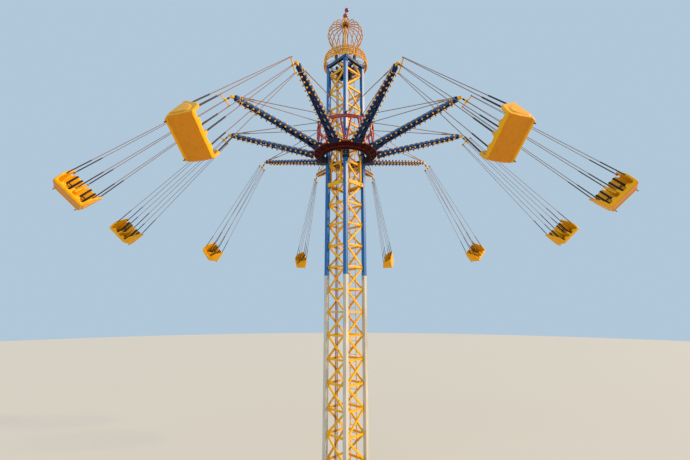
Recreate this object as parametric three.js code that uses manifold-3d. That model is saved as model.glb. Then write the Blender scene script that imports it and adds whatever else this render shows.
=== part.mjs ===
// Chair swing ride: a lattice tower with a crown, a lifting carriage,
// a turning rotor of ten arms, and ten double chairs.
// Units are millimetres, Z is up, and the origin is the middle of the base plate's underside.
// The rest state is the ride in full flight, as in the photograph.

import * as THREE from 'three';
import { mergeVertices } from 'three/addons/utils/BufferGeometryUtils.js';
import Module from 'manifold-3d';

const wasm = await Module();
wasm.setup();

// Driving dimensions: tower
const TOWER_SIDE = 1430;
const COLUMN = 180;
const COLUMN_CHAMFER = 14;
const BASE_SIDE = 2200;
const BASE_THICK = 40;
const SPLIT_Z = 9080;
const COLUMN_TOP = 20240;
const BAY = 1030;
const FIRST_BAR_Z = 200;
const BAR_COUNT = 20;
const HORIZONTAL = 88;
const DIAGONAL = 82;
const LATTICE_DEPTH = 62;
const LATTICE_SETBACK = 98;
const TOP_FRAME_SIDE = 1470;
const TOP_FRAME_BEAM = 150;
const TOP_FRAME_Z = 20400;
const TOP_POST_H = 300;

// Driving dimensions: hoist
const DRUM_Z = 380;
const SHEAVE_Z = 19910;
const DRUM_R = 150;
const ROPE_X = 138;
const ROPE_HALF = 12;
const HOIST_BED_TOP = 120;

// Driving dimensions: crown
const SKIRT_RIM_R = 1150;
const SKIRT_NECK_R = 560;
const SKIRT_RIM_Z = 20330;
const SKIRT_NECK_Z = 20975;
const NECK_HALF_H = 36;
const SKIRT_RIBS = 16;
const GLOBE_RIBS = 18;
const HUB_Z = 22940;
const HUB_R = 165;
const POLE_R = 50;
const BALL_Z = 23600;
const BALL_R = 135;
const TIP_Z = 23990;
// Radius and height along one rib, from the rim up to the neck and from the neck up to the hub
const SKIRT_PROFILE = [
  [SKIRT_RIM_R, SKIRT_RIM_Z], [1146, 20500], [1134, 20640], [1108, 20760],
  [1062, 20855], [985, 20920], [840, 20960], [SKIRT_NECK_R, SKIRT_NECK_Z],
];
const GLOBE_PROFILE = [
  [SKIRT_NECK_R - 20, SKIRT_NECK_Z + 60], [570, 21250], [680, 21560], [800, 21820], [905, 22040],
  [955, 22250], [930, 22460], [830, 22680], [680, 22830], [440, 22920], [155, HUB_Z],
];

// Air left between two solids that touch
const SEAM = 0.3;

// Driving dimensions: carriage and rotor
const RACE_IN = 1120;
const RACE_OUT = 1215;
const RACE_FLANGE = 1300;
const RING_IN = 1235;
const RING_OUT = 1630;
const RING_BOTTOM = 15100;
const RING_TOP = 15320;
const UPPER_RING_R = 1420;
const UPPER_RING_Z = 16650;
const UPPER_RING_W = 86;
const UPPER_RING_H = 150;
const LEG_R = 50;
const WHEEL_R = 70;
const GUIDE_BEAM_Z = 13560;
const POST_Y = 360;
const POST_W = 70;
const GUIDE_BEAM_H = 170;

// Driving dimensions: arms, stays and chairs
const ARMS = 10;
const FIRST_ARM_DEG = -27;
const ARM_ROOT_R = 1345;
const ARM_TIP_R = 5800;
const ARM_ROOT_W = 470;
const ARM_TIP_W = 150;
// The heel of an arm lies on the ring. Outside the ring's edge the arm hangs lower than that.
const ARM_HEEL_R = 1640;
const ARM_HEEL_TOP = 15380;
const ARM_ROOT_LOW = 15172;
const ARM_ROOT_TOP = 15342;
const ARM_TIP_LOW = 16180;
const ARM_TIP_TOP = 16380;
const ARM_FRAME = 45;
const STAY_TIP_R = 5700;
const STAY_R = 14;
const STAY_LUG_H = 150;
const PIN_R = 6000;
const PIN_Z = 16300;
const PIN_R_SOLID = 22;
const EYE_R = 58;
const EYE_HALF = 27.7;
const SWING_REST_DEG = 42.6;
const SPREADER_U = 380;
const SPREADER_HALF = 300;
const SEAT_U = 7030;
const SEAT_W = 1150;
const SEAT_PAN_W = 1040;
const LINE_FOOT_X = 515;
const LINE_R = 11;
const SLEEVE_R = 22;
const SLEEVE_LEN = 1150;

// How each chair faces: 1 is counter-clockwise seen from above, -1 clockwise
const FACING = [-1, -1, -1, -1, 1, 1, 1, 1, 1, 1];

const rad = (deg) => (deg * Math.PI) / 180;
const vec = (x, y, z) => new THREE.Vector3(x, y, z);

// Geometry helpers
function solid(geometry) {
  const plain = new THREE.BufferGeometry();
  plain.setAttribute('position', geometry.getAttribute('position').clone());
  if (geometry.index) plain.setIndex(geometry.index.clone());
  const merged = mergeVertices(plain, 1e-3);
  const mesh = new wasm.Mesh({
    numProp: 3,
    vertProperties: new Float32Array(merged.getAttribute('position').array),
    triVerts: new Uint32Array(merged.index.array),
  });
  return new wasm.Manifold(mesh);
}

function join(pieces) {
  let all = pieces[0];
  for (const piece of pieces.slice(1)) all = all.add(piece);
  return all;
}

function geometryOf(body) {
  const mesh = body.getMesh();
  const g = new THREE.BufferGeometry();
  g.setAttribute('position', new THREE.BufferAttribute(new Float32Array(mesh.vertProperties), 3));
  g.setIndex(new THREE.BufferAttribute(new Uint32Array(mesh.triVerts), 1));
  return g;
}

function box(x0, x1, y0, y1, z0, z1) {
  const g = new THREE.BoxGeometry(x1 - x0, y1 - y0, z1 - z0);
  g.translate((x0 + x1) / 2, (y0 + y1) / 2, (z0 + z1) / 2);
  return g;
}

// A bar from p to q, its width across and its height along the hint
function bar(p, q, width, height, hint = vec(0, 0, 1)) {
  const along = q.clone().sub(p);
  const length = along.length();
  along.normalize();
  const across = new THREE.Vector3().crossVectors(along, hint).normalize();
  const up = new THREE.Vector3().crossVectors(across, along).normalize();
  const g = new THREE.BoxGeometry(width, length, height);
  const m = new THREE.Matrix4().makeBasis(across, along, up);
  m.setPosition(p.clone().add(q).multiplyScalar(0.5));
  g.applyMatrix4(m);
  return g;
}

// A round rod from p to q with few sides
function rod(p, q, radius, sides = 6, radiusEnd = radius) {
  const along = q.clone().sub(p);
  const g = new THREE.CylinderGeometry(radiusEnd, radius, along.length(), sides, 1);
  const turn = new THREE.Quaternion().setFromUnitVectors(vec(0, 1, 0), along.clone().normalize());
  g.applyQuaternion(turn);
  const mid = p.clone().add(q).multiplyScalar(0.5);
  g.translate(mid.x, mid.y, mid.z);
  return g;
}

// A closed profile of radius and height turned about Z
function turned(profile, sides) {
  const points = profile.map(([r, z]) => new THREE.Vector2(r, z));
  points.push(points[0].clone());
  const g = new THREE.LatheGeometry(points, sides);
  g.rotateX(Math.PI / 2);
  return g;
}

// A profile in Y and Z pulled along X between x0 and x1
function pulled(profile, x0, x1) {
  const shape = new THREE.Shape(profile.map(([y, z]) => new THREE.Vector2(y, z)));
  const g = new THREE.ExtrudeGeometry(shape, { depth: x1 - x0, bevelEnabled: false });
  const m = new THREE.Matrix4().makeBasis(vec(0, 1, 0), vec(0, 0, 1), vec(1, 0, 0));
  m.setPosition(vec(x0, 0, 0));
  g.applyMatrix4(m);
  return g;
}

// A profile in X and Y pulled along Z between z0 and z1
function raised(profile, z0, z1) {
  const shape = new THREE.Shape(profile.map(([x, y]) => new THREE.Vector2(x, y)));
  const g = new THREE.ExtrudeGeometry(shape, { depth: z1 - z0, bevelEnabled: false });
  g.translate(0, 0, z0);
  return g;
}

function moved(geometry, matrix) {
  const g = geometry.clone();
  g.applyMatrix4(matrix);
  return g;
}

// A flat band of even thickness along a path of radius and height, as a polygon
function bandOutline(path, thick) {
  const outer = [];
  const inner = [];
  for (let k = 0; k < path.length; k += 1) {
    const before = path[Math.max(0, k - 1)];
    const after = path[Math.min(path.length - 1, k + 1)];
    const dr = after[0] - before[0];
    const dz = after[1] - before[1];
    const d = Math.hypot(dr, dz);
    outer.push([path[k][0] + (dz / d) * (thick / 2), path[k][1] - (dr / d) * (thick / 2)]);
    inner.push([path[k][0] - (dz / d) * (thick / 2), path[k][1] + (dr / d) * (thick / 2)]);
  }
  return [...outer, ...inner.reverse()];
}

// A profile in X and Z pulled along Y between y0 and y1
function sideways(profile, y0, y1) {
  const shape = new THREE.Shape(profile.map(([x, z]) => new THREE.Vector2(x, z)));
  const g = new THREE.ExtrudeGeometry(shape, { depth: y1 - y0, bevelEnabled: false });
  const m = new THREE.Matrix4().makeBasis(vec(1, 0, 0), vec(0, 0, 1), vec(0, -1, 0));
  m.setPosition(vec(0, y1, 0));
  g.applyMatrix4(m);
  return g;
}

// A four-sided line that steps to a sleeve, both ends level
function steppedLine(p, q, thin, thick, stepAt) {
  const s = p.clone().lerp(q, stepAt);
  const rings = [[p, thin], [s, thin], [s, thick], [q, thick]];
  const points = [];
  for (const [c, r] of rings) {
    for (const [x, y] of [[r, 0], [0, r], [-r, 0], [0, -r]]) points.push(c.x + x, c.y + y, c.z);
  }
  const index = [0, 1, 2, 0, 2, 3, 12, 14, 13, 12, 15, 14];
  for (let k = 0; k < 3; k += 1) {
    for (let j = 0; j < 4; j += 1) {
      const a = k * 4 + j;
      const b = k * 4 + ((j + 1) % 4);
      index.push(a, a + 4, b, b, a + 4, b + 4);
    }
  }
  const g = new THREE.BufferGeometry();
  g.setAttribute('position', new THREE.BufferAttribute(new Float32Array(points), 3));
  g.setIndex(index);
  return g;
}

const turnZ = (deg) => new THREE.Matrix4().makeRotationZ(rad(deg));
const polar = (r, deg, z) => vec(r * Math.cos(rad(deg)), r * Math.sin(rad(deg)), z);

// Paints and metals, with colours read by eye from the photograph
function paint(color, roughness, metalness = 0) {
  return new THREE.MeshStandardMaterial({ color, roughness, metalness });
}

const BLUE = paint('#0f5fa8', 0.35);
const CREAM = paint('#e6dcc4', 0.5);
const YELLOW = paint('#e2a31a', 0.42);
const RED = paint('#8c2a24', 0.4);
const GOLD = paint('#c98a1e', 0.35, 0.6);
const GREY = paint('#4a4d50', 0.55);
const DARK = paint('#26282c', 0.5, 0.4);
const STEEL = paint('#8c8378', 0.4, 0.8);
const SHELL = paint('#dd8f12', 0.3);

const ride = new THREE.Group();
const tower = new THREE.Group();
const crown = new THREE.Group();
const carriage = new THREE.Group();
const rotor = new THREE.Group();
ride.add(tower, crown, carriage, rotor);

function addNode(group, name, geometry, material, turnDeg = 0) {
  const mesh = new THREE.Mesh(geometry, material);
  mesh.name = name;
  mesh.rotation.z = rad(turnDeg);
  group.add(mesh);
}

// Square with cut corners, centred on a point
function chamferedSquare(side, cut, cx = 0, cy = 0) {
  const h = side / 2;
  const c = h - cut;
  return [
    [cx + h, cy - c], [cx + h, cy + c], [cx + c, cy + h], [cx - c, cy + h],
    [cx - h, cy + c], [cx - h, cy - c], [cx - c, cy - h], [cx + c, cy - h],
  ];
}

// Base plate with a foot and gussets at each column
function basePlate() {
  const pieces = [solid(raised(chamferedSquare(BASE_SIDE, 120), 0, BASE_THICK))];
  const c = TOWER_SIDE / 2 - COLUMN / 2;
  const outer = COLUMN / 2 + SEAM;
  for (const [sx, sy] of [[1, 1], [-1, 1], [-1, -1], [1, -1]]) {
    const x = sx * c;
    const y = sy * c;
    const foot = solid(box(x - 150, x + 150, y - 150, y + 150, BASE_THICK - 1, BASE_THICK + 30));
    pieces.push(foot);
    const rib = [[outer, 60], [150, 60], [150, 90], [outer, 330]];
    for (const turn of [sx > 0 ? -90 : 90, sy > 0 ? 0 : 180]) {
      const g = pulled(rib, -9, 9);
      g.applyMatrix4(turnZ(turn));
      g.translate(x, y, 0);
      pieces.push(solid(g));
    }
  }
  return join(pieces);
}

// One tower column between two heights
function column(sx, sy, z0, z1) {
  const c = TOWER_SIDE / 2 - COLUMN / 2;
  return solid(raised(chamferedSquare(COLUMN, COLUMN_CHAMFER, sx * c, sy * c), z0, z1));
}

// One lattice face, built on the -Y side. The four faces are alike and turned into place.
function latticeFace() {
  const half = TOWER_SIDE / 2 - COLUMN - SEAM;
  const y0 = -TOWER_SIDE / 2 + LATTICE_SETBACK;
  const yc = y0 + LATTICE_DEPTH / 2;
  const pieces = [];
  for (let k = 0; k < BAR_COUNT; k += 1) {
    const z = FIRST_BAR_Z + k * BAY;
    pieces.push(solid(box(-half, half, y0, y0 + LATTICE_DEPTH, z - HORIZONTAL / 2, z + HORIZONTAL / 2)));
    const side = k % 2 === 0 ? 1 : -1;
    const p = vec(-side * (half + 20), yc, z + 8);
    const q = vec(side * (half + 20), yc, z + BAY - 8);
    pieces.push(solid(bar(p, q, DIAGONAL, LATTICE_DEPTH - 6, vec(0, 1, 0))));
  }
  const low = FIRST_BAR_Z - HORIZONTAL / 2;
  const trim = solid(box(-half, half, y0 - 5, y0 + LATTICE_DEPTH + 5, low, COLUMN_TOP - SEAM));
  return join(pieces).intersect(trim);
}

// Square frame on the column tops, with a cross of beams and a sheave block inside
function topFrame() {
  const s = TOP_FRAME_SIDE / 2;
  const i = s - TOP_FRAME_BEAM;
  const z0 = COLUMN_TOP + SEAM;
  const outer = solid(raised(chamferedSquare(TOP_FRAME_SIDE, 20), z0, TOP_FRAME_Z));
  const hole = solid(box(-i, i, -i, i, z0 - 10, TOP_FRAME_Z + 10));
  const pieces = [outer.subtract(hole)];
  pieces.push(solid(box(-i - 5, i + 5, -60, 60, z0 + 20, TOP_FRAME_Z - 10)));
  pieces.push(solid(box(-60, 60, -i - 5, i + 5, z0 + 20, TOP_FRAME_Z - 10)));
  for (const turn of [0, 90, 180, 270]) {
    const g = box(s - 130, s - 20, -55, 55, TOP_FRAME_Z - 2, TOP_FRAME_Z + TOP_POST_H);
    g.applyMatrix4(turnZ(turn));
    pieces.push(solid(g));
  }
  return join(pieces);
}

// Hoist: head sheaves under the top frame, drum on the base plate, and the rope runs between them
function hoist() {
  const low = BASE_THICK + SEAM;
  const pieces = [solid(box(-150, 150, -240, 240, low, HOIST_BED_TOP))];
  pieces.push(solid(rod(vec(0, -190, DRUM_Z), vec(0, 190, DRUM_Z), DRUM_R, 12)));
  pieces.push(solid(rod(vec(0, -60, SHEAVE_Z), vec(0, 60, SHEAVE_Z), DRUM_R, 12)));
  pieces.push(solid(box(-25, 25, -110, 110, SHEAVE_Z - 25, SHEAVE_Z + 25)));
  for (const side of [-1, 1]) {
    const cheek = box(-60, 60, side * 205 - 25, side * 205 + 25, low, DRUM_Z + 60);
    const hangerPlate = box(-45, 45, side * 95 - 15, side * 95 + 15, SHEAVE_Z - 60, COLUMN_TOP + 20);
    const x = side * ROPE_X;
    const rope = box(x - ROPE_HALF, x + ROPE_HALF, -ROPE_HALF, ROPE_HALF, DRUM_Z, SHEAVE_Z);
    pieces.push(solid(cheek), solid(hangerPlate), solid(rope));
  }
  return join(pieces);
}

function hoop(r, z, dr, dz, sides) {
  return turned([[r - dr, z - dz], [r + dr, z - dz], [r + dr, z + dz], [r - dr, z + dz]], sides);
}

// Dome skirt: rim, hoops, ribs and neck of the crown
function crownSkirt() {
  const pieces = [];
  pieces.push(solid(hoop(SKIRT_RIM_R, SKIRT_RIM_Z, 26, 34, 2 * SKIRT_RIBS)));
  pieces.push(solid(hoop(SKIRT_NECK_R, SKIRT_NECK_Z, 30, NECK_HALF_H, 2 * SKIRT_RIBS)));
  const [midR, midZ] = SKIRT_PROFILE[3];
  pieces.push(solid(hoop(midR, midZ, 15, 15, 2 * SKIRT_RIBS)));
  const rib = sideways(bandOutline(SKIRT_PROFILE, 24), -19, 19);
  for (let k = 0; k < SKIRT_RIBS; k += 1) {
    const bearing = (360 / SKIRT_RIBS) * (k + 0.25);
    pieces.push(solid(moved(rib, turnZ(bearing))));
  }
  // Hooks that hang the rim on the frame corners and a cross that carries the pole
  for (const deg of [45, 135, 225, 315]) {
    const flat = box(960, SKIRT_RIM_R + 10, -45, 45, TOP_FRAME_Z + SEAM, TOP_FRAME_Z + 50);
    const drop = box(SKIRT_RIM_R - 50, SKIRT_RIM_R + 10, -45, 45, SKIRT_RIM_Z - 20, TOP_FRAME_Z + 20);
    pieces.push(solid(moved(flat, turnZ(deg))), solid(moved(drop, turnZ(deg))));
  }
  pieces.push(solid(box(-SKIRT_NECK_R, SKIRT_NECK_R, -22, 22, SKIRT_NECK_Z - 30, SKIRT_NECK_Z + 20)));
  pieces.push(solid(box(-22, 22, -SKIRT_NECK_R, SKIRT_NECK_R, SKIRT_NECK_Z - 30, SKIRT_NECK_Z + 20)));
  pieces.push(solid(rod(vec(0, 0, SKIRT_NECK_Z - 40), vec(0, 0, SKIRT_NECK_Z + NECK_HALF_H), 90, 8)));
  return join(pieces);
}

// Open globe of ribs that curve in at the top to a hub on the pole
function crownGlobe() {
  const base = SKIRT_NECK_Z + NECK_HALF_H + SEAM;
  const pieces = [];
  pieces.push(solid(hoop(SKIRT_NECK_R - 8, base + 22, 26, 22, 2 * GLOBE_RIBS)));
  pieces.push(solid(rod(vec(0, 0, HUB_Z - 50), vec(0, 0, HUB_Z + 46), HUB_R, 12)));
  pieces.push(solid(rod(vec(0, 0, base), vec(0, 0, base + 40), 70, 8)));
  pieces.push(solid(rod(vec(0, 0, base), vec(0, 0, BALL_Z - BALL_R), POLE_R, 8)));
  const rib = sideways(bandOutline(GLOBE_PROFILE, 26), -12, 12);
  for (let k = 0; k < GLOBE_RIBS; k += 1) {
    const bearing = (360 / GLOBE_RIBS) * (k + 0.25);
    pieces.push(solid(moved(rib, turnZ(bearing))));
  }
  return join(pieces);
}

// Ball and tip on top of the pole
function finial() {
  const points = [[0, BALL_Z - BALL_R + SEAM], [POLE_R + 6, BALL_Z - BALL_R + SEAM]];
  for (let k = 1; k < 6; k += 1) {
    const t = -Math.PI / 2 + (Math.PI * (k + 0.35)) / 6.7;
    points.push([BALL_R * Math.cos(t), BALL_Z + BALL_R * Math.sin(t)]);
  }
  points.push([24, BALL_Z + BALL_R], [24, TIP_Z - 110], [90, TIP_Z - 50]);
  points.push([98, TIP_Z + 10], [60, TIP_Z + 80], [0, TIP_Z + 110]);
  const g = new THREE.LatheGeometry(points.map(([r, z]) => new THREE.Vector2(r, z)), 10);
  g.rotateX(Math.PI / 2);
  return solid(g);
}

// Lifting carriage: race inside the turning ring, one post down each face and the lower guide beams
function carriageFrame() {
  const pieces = [];
  const z0 = RING_BOTTOM - 40;
  const seatZ = RING_BOTTOM - SEAM;
  pieces.push(solid(turned([
    [RACE_IN, z0], [RACE_FLANGE, z0], [RACE_FLANGE, seatZ], [RACE_OUT, seatZ],
    [RACE_OUT, RING_TOP - 20], [RACE_IN, RING_TOP - 20],
  ], 40)));
  const face = TOWER_SIDE / 2;
  const low = GUIDE_BEAM_Z - GUIDE_BEAM_H / 2;
  for (const turn of [0, 90, 180, 270]) {
    const beamLen = TOWER_SIDE / 2 - COLUMN - 15;
    const beam = box(face - 76, face + 4, -beamLen, beamLen, low, low + GUIDE_BEAM_H);
    pieces.push(solid(moved(beam, turnZ(turn))));
    const y0 = POST_Y - POST_W / 2;
    const y1 = POST_Y + POST_W / 2;
    const post = box(face - 66, face + 4, y0, y1, low + 5, RING_BOTTOM + 60);
    pieces.push(solid(moved(post, turnZ(turn))));
    const arm = box(face - 66, RACE_IN + 30, y0, y1, RING_BOTTOM - 20, RING_BOTTOM + 60);
    pieces.push(solid(moved(arm, turnZ(turn))));
  }
  return join(pieces);
}

// Roller boxes that hug the four column corners, joined by a plate ring under the race
function guideRollers() {
  const top = RING_BOTTOM - 40 - SEAM;
  const pieces = [solid(turned([[1110, top - 24], [1200, top - 24], [1200, top], [1110, top]], 40))];
  const corner = (TOWER_SIDE / 2) * Math.SQRT2;
  for (const deg of [45, 135, 225, 315]) {
    const block = solid(moved(box(corner - 150, corner + 165, -170, 170, top - 330, top), turnZ(deg)));
    const sx = Math.sign(Math.cos(rad(deg)));
    const sy = Math.sign(Math.sin(rad(deg)));
    const inner = TOWER_SIDE / 2 - COLUMN - 400;
    const outerEdge = TOWER_SIDE / 2 + 8;
    const xs = [sx * inner, sx * outerEdge].sort((a, b) => a - b);
    const ys = [sy * inner, sy * outerEdge].sort((a, b) => a - b);
    const clear = solid(box(xs[0], xs[1], ys[0], ys[1], top - 400, top + 100));
    pieces.push(block.subtract(clear));
    // A wheel on each outer face of the column
    const run = TOWER_SIDE / 2 + SEAM + WHEEL_R * Math.cos(Math.PI / 8);
    const track = TOWER_SIDE / 2 - 75;
    const wheelZ = top - 165;
    const wheels = [
      [vec(sx * run, sy * (track - 35), wheelZ), vec(sx * run, sy * (track + 35), wheelZ)],
      [vec(sx * (track - 35), sy * run, wheelZ), vec(sx * (track + 35), sy * run, wheelZ)],
    ];
    for (const [p, q] of wheels) {
      const wheel = new THREE.CylinderGeometry(WHEEL_R, WHEEL_R, 70, 8, 1);
      wheel.rotateY(Math.PI / 8);
      const along = q.clone().sub(p).normalize();
      wheel.applyQuaternion(new THREE.Quaternion().setFromUnitVectors(vec(0, 1, 0), along));
      const mid = p.clone().add(q).multiplyScalar(0.5);
      wheel.translate(mid.x, mid.y, mid.z);
      pieces.push(solid(wheel));
    }
  }
  return join(pieces);
}

// Turning ring that carries the arms: flat on top, its underside rising to a thin outer edge
function lowerRing() {
  return solid(turned([
    [RING_IN, RING_BOTTOM], [RACE_FLANGE + 60, RING_BOTTOM], [RING_OUT, RING_TOP - 90],
    [RING_OUT, RING_TOP - 20], [RING_OUT - 30, RING_TOP], [RING_IN, RING_TOP],
  ], 50));
}

// Upper ring and the splayed struts that stand it on the lower ring
function upperRing() {
  const low = RING_TOP + SEAM;
  const pieces = [solid(hoop(UPPER_RING_R, UPPER_RING_Z, UPPER_RING_W / 2, UPPER_RING_H / 2, 50))];
  for (let k = 0; k < ARMS; k += 1) {
    const deg = FIRST_ARM_DEG + 18 + 36 * k;
    for (const side of [-1, 1]) {
      const foot = polar(1485, deg + side * 1.6, RING_TOP + 10);
      const head = polar(UPPER_RING_R, deg + side * 11, UPPER_RING_Z - 5);
      pieces.push(solid(rod(foot, head, LEG_R, 6)));
    }
    const shoe = moved(box(1420, 1550, -95, 95, low, RING_TOP + 50), turnZ(deg));
    pieces.push(solid(shoe));
  }
  return join(pieces).intersect(solid(box(-2000, 2000, -2000, 2000, low, UPPER_RING_Z + 200)));
}

// Heights of an arm's underside and top, outside the ring
const armShare = (r) => (r - RING_OUT) / (ARM_TIP_R - RING_OUT);
const armLow = (r) => ARM_ROOT_LOW + (ARM_TIP_LOW - ARM_ROOT_LOW) * armShare(r);
const armTop = (r) => ARM_ROOT_TOP + (ARM_TIP_TOP - ARM_ROOT_TOP) * armShare(r);

// One arm along +X: a slim box with windows through its sides and its floor, and a clevis with its pin
function arm() {
  const r0 = ARM_ROOT_R;
  const r1 = ARM_TIP_R;
  const heelLow = RING_TOP + SEAM;
  const riseShare = (ARM_HEEL_TOP - ARM_ROOT_TOP) / (ARM_TIP_TOP - ARM_ROOT_TOP);
  const riseR = RING_OUT + riseShare * (r1 - RING_OUT);
  const width = (r) => ARM_ROOT_W + ((ARM_TIP_W - ARM_ROOT_W) * (r - r0)) / (r1 - r0);
  const plan = [
    [r0, -width(r0) / 2], [r1, -width(r1) / 2], [r1 + 60, -45],
    [r1 + 60, 45], [r1, width(r1) / 2], [r0, width(r0) / 2],
  ];
  const side = [
    [r0, heelLow], [ARM_HEEL_R, heelLow], [ARM_HEEL_R, armLow(ARM_HEEL_R)],
    [r1, ARM_TIP_LOW], [r1 + 60, ARM_TIP_LOW + 50], [r1 + 60, ARM_TIP_TOP - 50],
    [r1, ARM_TIP_TOP], [riseR, ARM_HEEL_TOP], [r0, ARM_HEEL_TOP],
  ];
  const tall = solid(raised(plan, 15000, 17000));
  let body = tall.intersect(solid(sideways(side, -400, 400)));
  const stations = [1760, 2700, 3640, 4580, 5520];
  for (let k = 0; k + 1 < stations.length; k += 1) {
    const a = stations[k] + ARM_FRAME;
    const b = stations[k + 1] - ARM_FRAME;
    const wa = width(a) / 2 - ARM_FRAME;
    const wb = width(b) / 2 - ARM_FRAME;
    const up = raised([[a, -wa], [b, -wb], [b, wb], [a, wa]], 15000, 17000);
    body = body.subtract(solid(up));
    const la = armLow(a) + ARM_FRAME;
    const lb = armLow(b) + ARM_FRAME;
    const ha = armTop(a) - ARM_FRAME;
    const hb = armTop(b) - ARM_FRAME;
    const tri = k % 2 === 0 ? [[a, la], [b, lb], [a, ha]] : [[a, la], [b, lb], [b, hb]];
    body = body.subtract(solid(sideways(tri, -400, 400)));
  }
  // Clevis cheeks and the pin the chair hangs from
  const cheek = [
    [r1 + 40, PIN_Z - 55], [PIN_R + 10, PIN_Z - 50], [PIN_R + 50, PIN_Z],
    [PIN_R + 10, PIN_Z + 50], [r1 + 40, PIN_Z + 55],
  ];
  for (const y of [-48, 28]) body = body.add(solid(sideways(cheek, y, y + 20)));
  body = body.add(solid(rod(vec(PIN_R, -60, PIN_Z), vec(PIN_R, 60, PIN_Z), PIN_R_SOLID, 12)));
  return geometryOf(body);
}

// Stay rods of two neighbouring arms, from saddles near the arm ends to lugs on the upper ring.
// The lugs at both ends of a set are cut in half, because the next set holds the other half.
function stays(first) {
  const pieces = [];
  const lugR = UPPER_RING_R + 10;
  const lugZ = UPPER_RING_Z + UPPER_RING_H / 2 + SEAM;
  const lugHalf = 60;
  const lug = (y0, y1, deg) => {
    pieces.push(solid(moved(box(lugR - 45, lugR + 45, y0, y1, lugZ, lugZ + STAY_LUG_H), turnZ(deg))));
  };
  const start = FIRST_ARM_DEG + 36 * first;
  lug(SEAM / 2, lugHalf, start - 18);
  lug(-lugHalf, lugHalf, start + 18);
  lug(-lugHalf, -SEAM / 2, start + 54);
  for (const deg of [start, start + 36]) {
    const inner = vec(STAY_TIP_R - 90, 0, armTop(STAY_TIP_R - 90) + 26.5);
    const outer = vec(STAY_TIP_R + 90, 0, armTop(STAY_TIP_R + 90) + 26.5);
    pieces.push(solid(moved(bar(inner, outer, 84, 50), turnZ(deg))));
    for (const side of [-1, 1]) {
      const p = polar(STAY_TIP_R, deg + side * 0.2, armTop(STAY_TIP_R) + 27);
      const q = polar(lugR + 10, deg + side * 16.6, lugZ + STAY_LUG_H - 50);
      pieces.push(solid(rod(p, q, STAY_R, 4)));
    }
  }
  return join(pieces);
}

// Hanger in the chair's own frame: the pin is the origin, X runs across, Y ahead and Z up the lines
function lineEnds() {
  const ends = [];
  for (const x of [-1, 0, 1]) {
    ends.push([vec(x * (SPREADER_HALF - 25), 36, -SPREADER_U - 26), vec(x * LINE_FOOT_X, 215, -SEAT_U + 165)]);
    ends.push([vec(x * (SPREADER_HALF - 25), -36, -SPREADER_U - 26), vec(x * LINE_FOOT_X, -285, -SEAT_U + 575)]);
  }
  return ends;
}

function hanger() {
  const bore = PIN_R_SOLID / Math.cos(Math.PI / 12) + 0.6;
  const eye = turned([[bore, -EYE_HALF], [EYE_R, -EYE_HALF], [EYE_R, EYE_HALF], [bore, EYE_HALF]], 12);
  eye.rotateX(Math.PI / 2);
  const pieces = [solid(eye)];
  pieces.push(solid(box(-24, 24, -18, 18, -SPREADER_U + 20, -40)));
  pieces.push(solid(box(-SPREADER_HALF, SPREADER_HALF, -62, 62, -SPREADER_U - 28, -SPREADER_U + 28)));
  for (const [p, q] of lineEnds()) {
    const end = q.clone().setZ(q.z + SEAM);
    const step = 1 - SLEEVE_LEN / p.distanceTo(q);
    pieces.push(solid(steppedLine(p, end, LINE_R, SLEEVE_R, step)));
  }
  return geometryOf(join(pieces));
}

// Double chair: a moulded shell with two wells, a divider, a pommel in each place and lugs for the lines.
// Its sides draw in towards the underside.
function seat() {
  const z0 = -SEAT_U;
  const outline = [
    [-300, -205], [250, -225], [335, -195], [370, -120], [350, 10], [290, 105], [180, 140],
    [-90, 185], [-200, 330], [-235, 520], [-280, 550], [-330, 540], [-365, 400], [-360, -120],
  ].map(([y, z]) => [y, z + z0]);
  const well = [
    [-265, -110], [60, -140], [420, -95], [420, 700], [-215, 700], [-250, 440], [-275, 60],
  ].map(([y, z]) => [y, z + z0]);
  const half = SEAT_W / 2;
  let body = solid(pulled(outline, -half, half));
  const wells = [[-half + 62, -32], [32, half - 62]];
  for (const [x0, x1] of wells) body = body.subtract(solid(pulled(well, x0, x1)));
  const pan = SEAT_PAN_W / 2;
  const front = [[-pan, -300], [pan, -300], [half, -60], [half, 700], [-half, 700], [-half, -60]];
  body = body.intersect(solid(sideways(front.map(([x, z]) => [x, z + z0]), -500, 500)));
  for (const [x0, x1] of wells) {
    const mid = (x0 + x1) / 2;
    const pommel = [[180, -160], [330, -150], [345, -60], [300, -10], [255, -10]]
      .map(([y, z]) => [y, z + z0]);
    body = body.add(solid(pulled(pommel, mid - 45, mid + 45)));
  }
  for (const [, q] of lineEnds()) {
    body = body.add(solid(box(q.x - 32, q.x + 32, q.y - 32, q.y + 32, q.z - 130, q.z)));
  }
  // Bump pegs below the rear edge
  for (const x of [-430, 430]) {
    body = body.add(solid(rod(vec(x, -290, z0 - 290), vec(x, -290, z0 - 190), 22, 4)));
  }
  return geometryOf(body);
}

// Group of a chair, hung on its pin and turned to its rest swing
function chairGroup(k) {
  const deg = FIRST_ARM_DEG + 36 * k;
  const swing = rad(SWING_REST_DEG);
  const out = polar(1, deg, 0);
  const round = polar(1, deg + 90, 0);
  const up = out.multiplyScalar(-Math.sin(swing)).add(vec(0, 0, Math.cos(swing)));
  const forward = round.multiplyScalar(FACING[k]);
  const across = new THREE.Vector3().crossVectors(forward, up);
  const group = new THREE.Group();
  group.quaternion.setFromRotationMatrix(new THREE.Matrix4().makeBasis(across, forward, up));
  group.position.copy(polar(PIN_R, deg, PIN_Z));
  return group;
}

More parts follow.
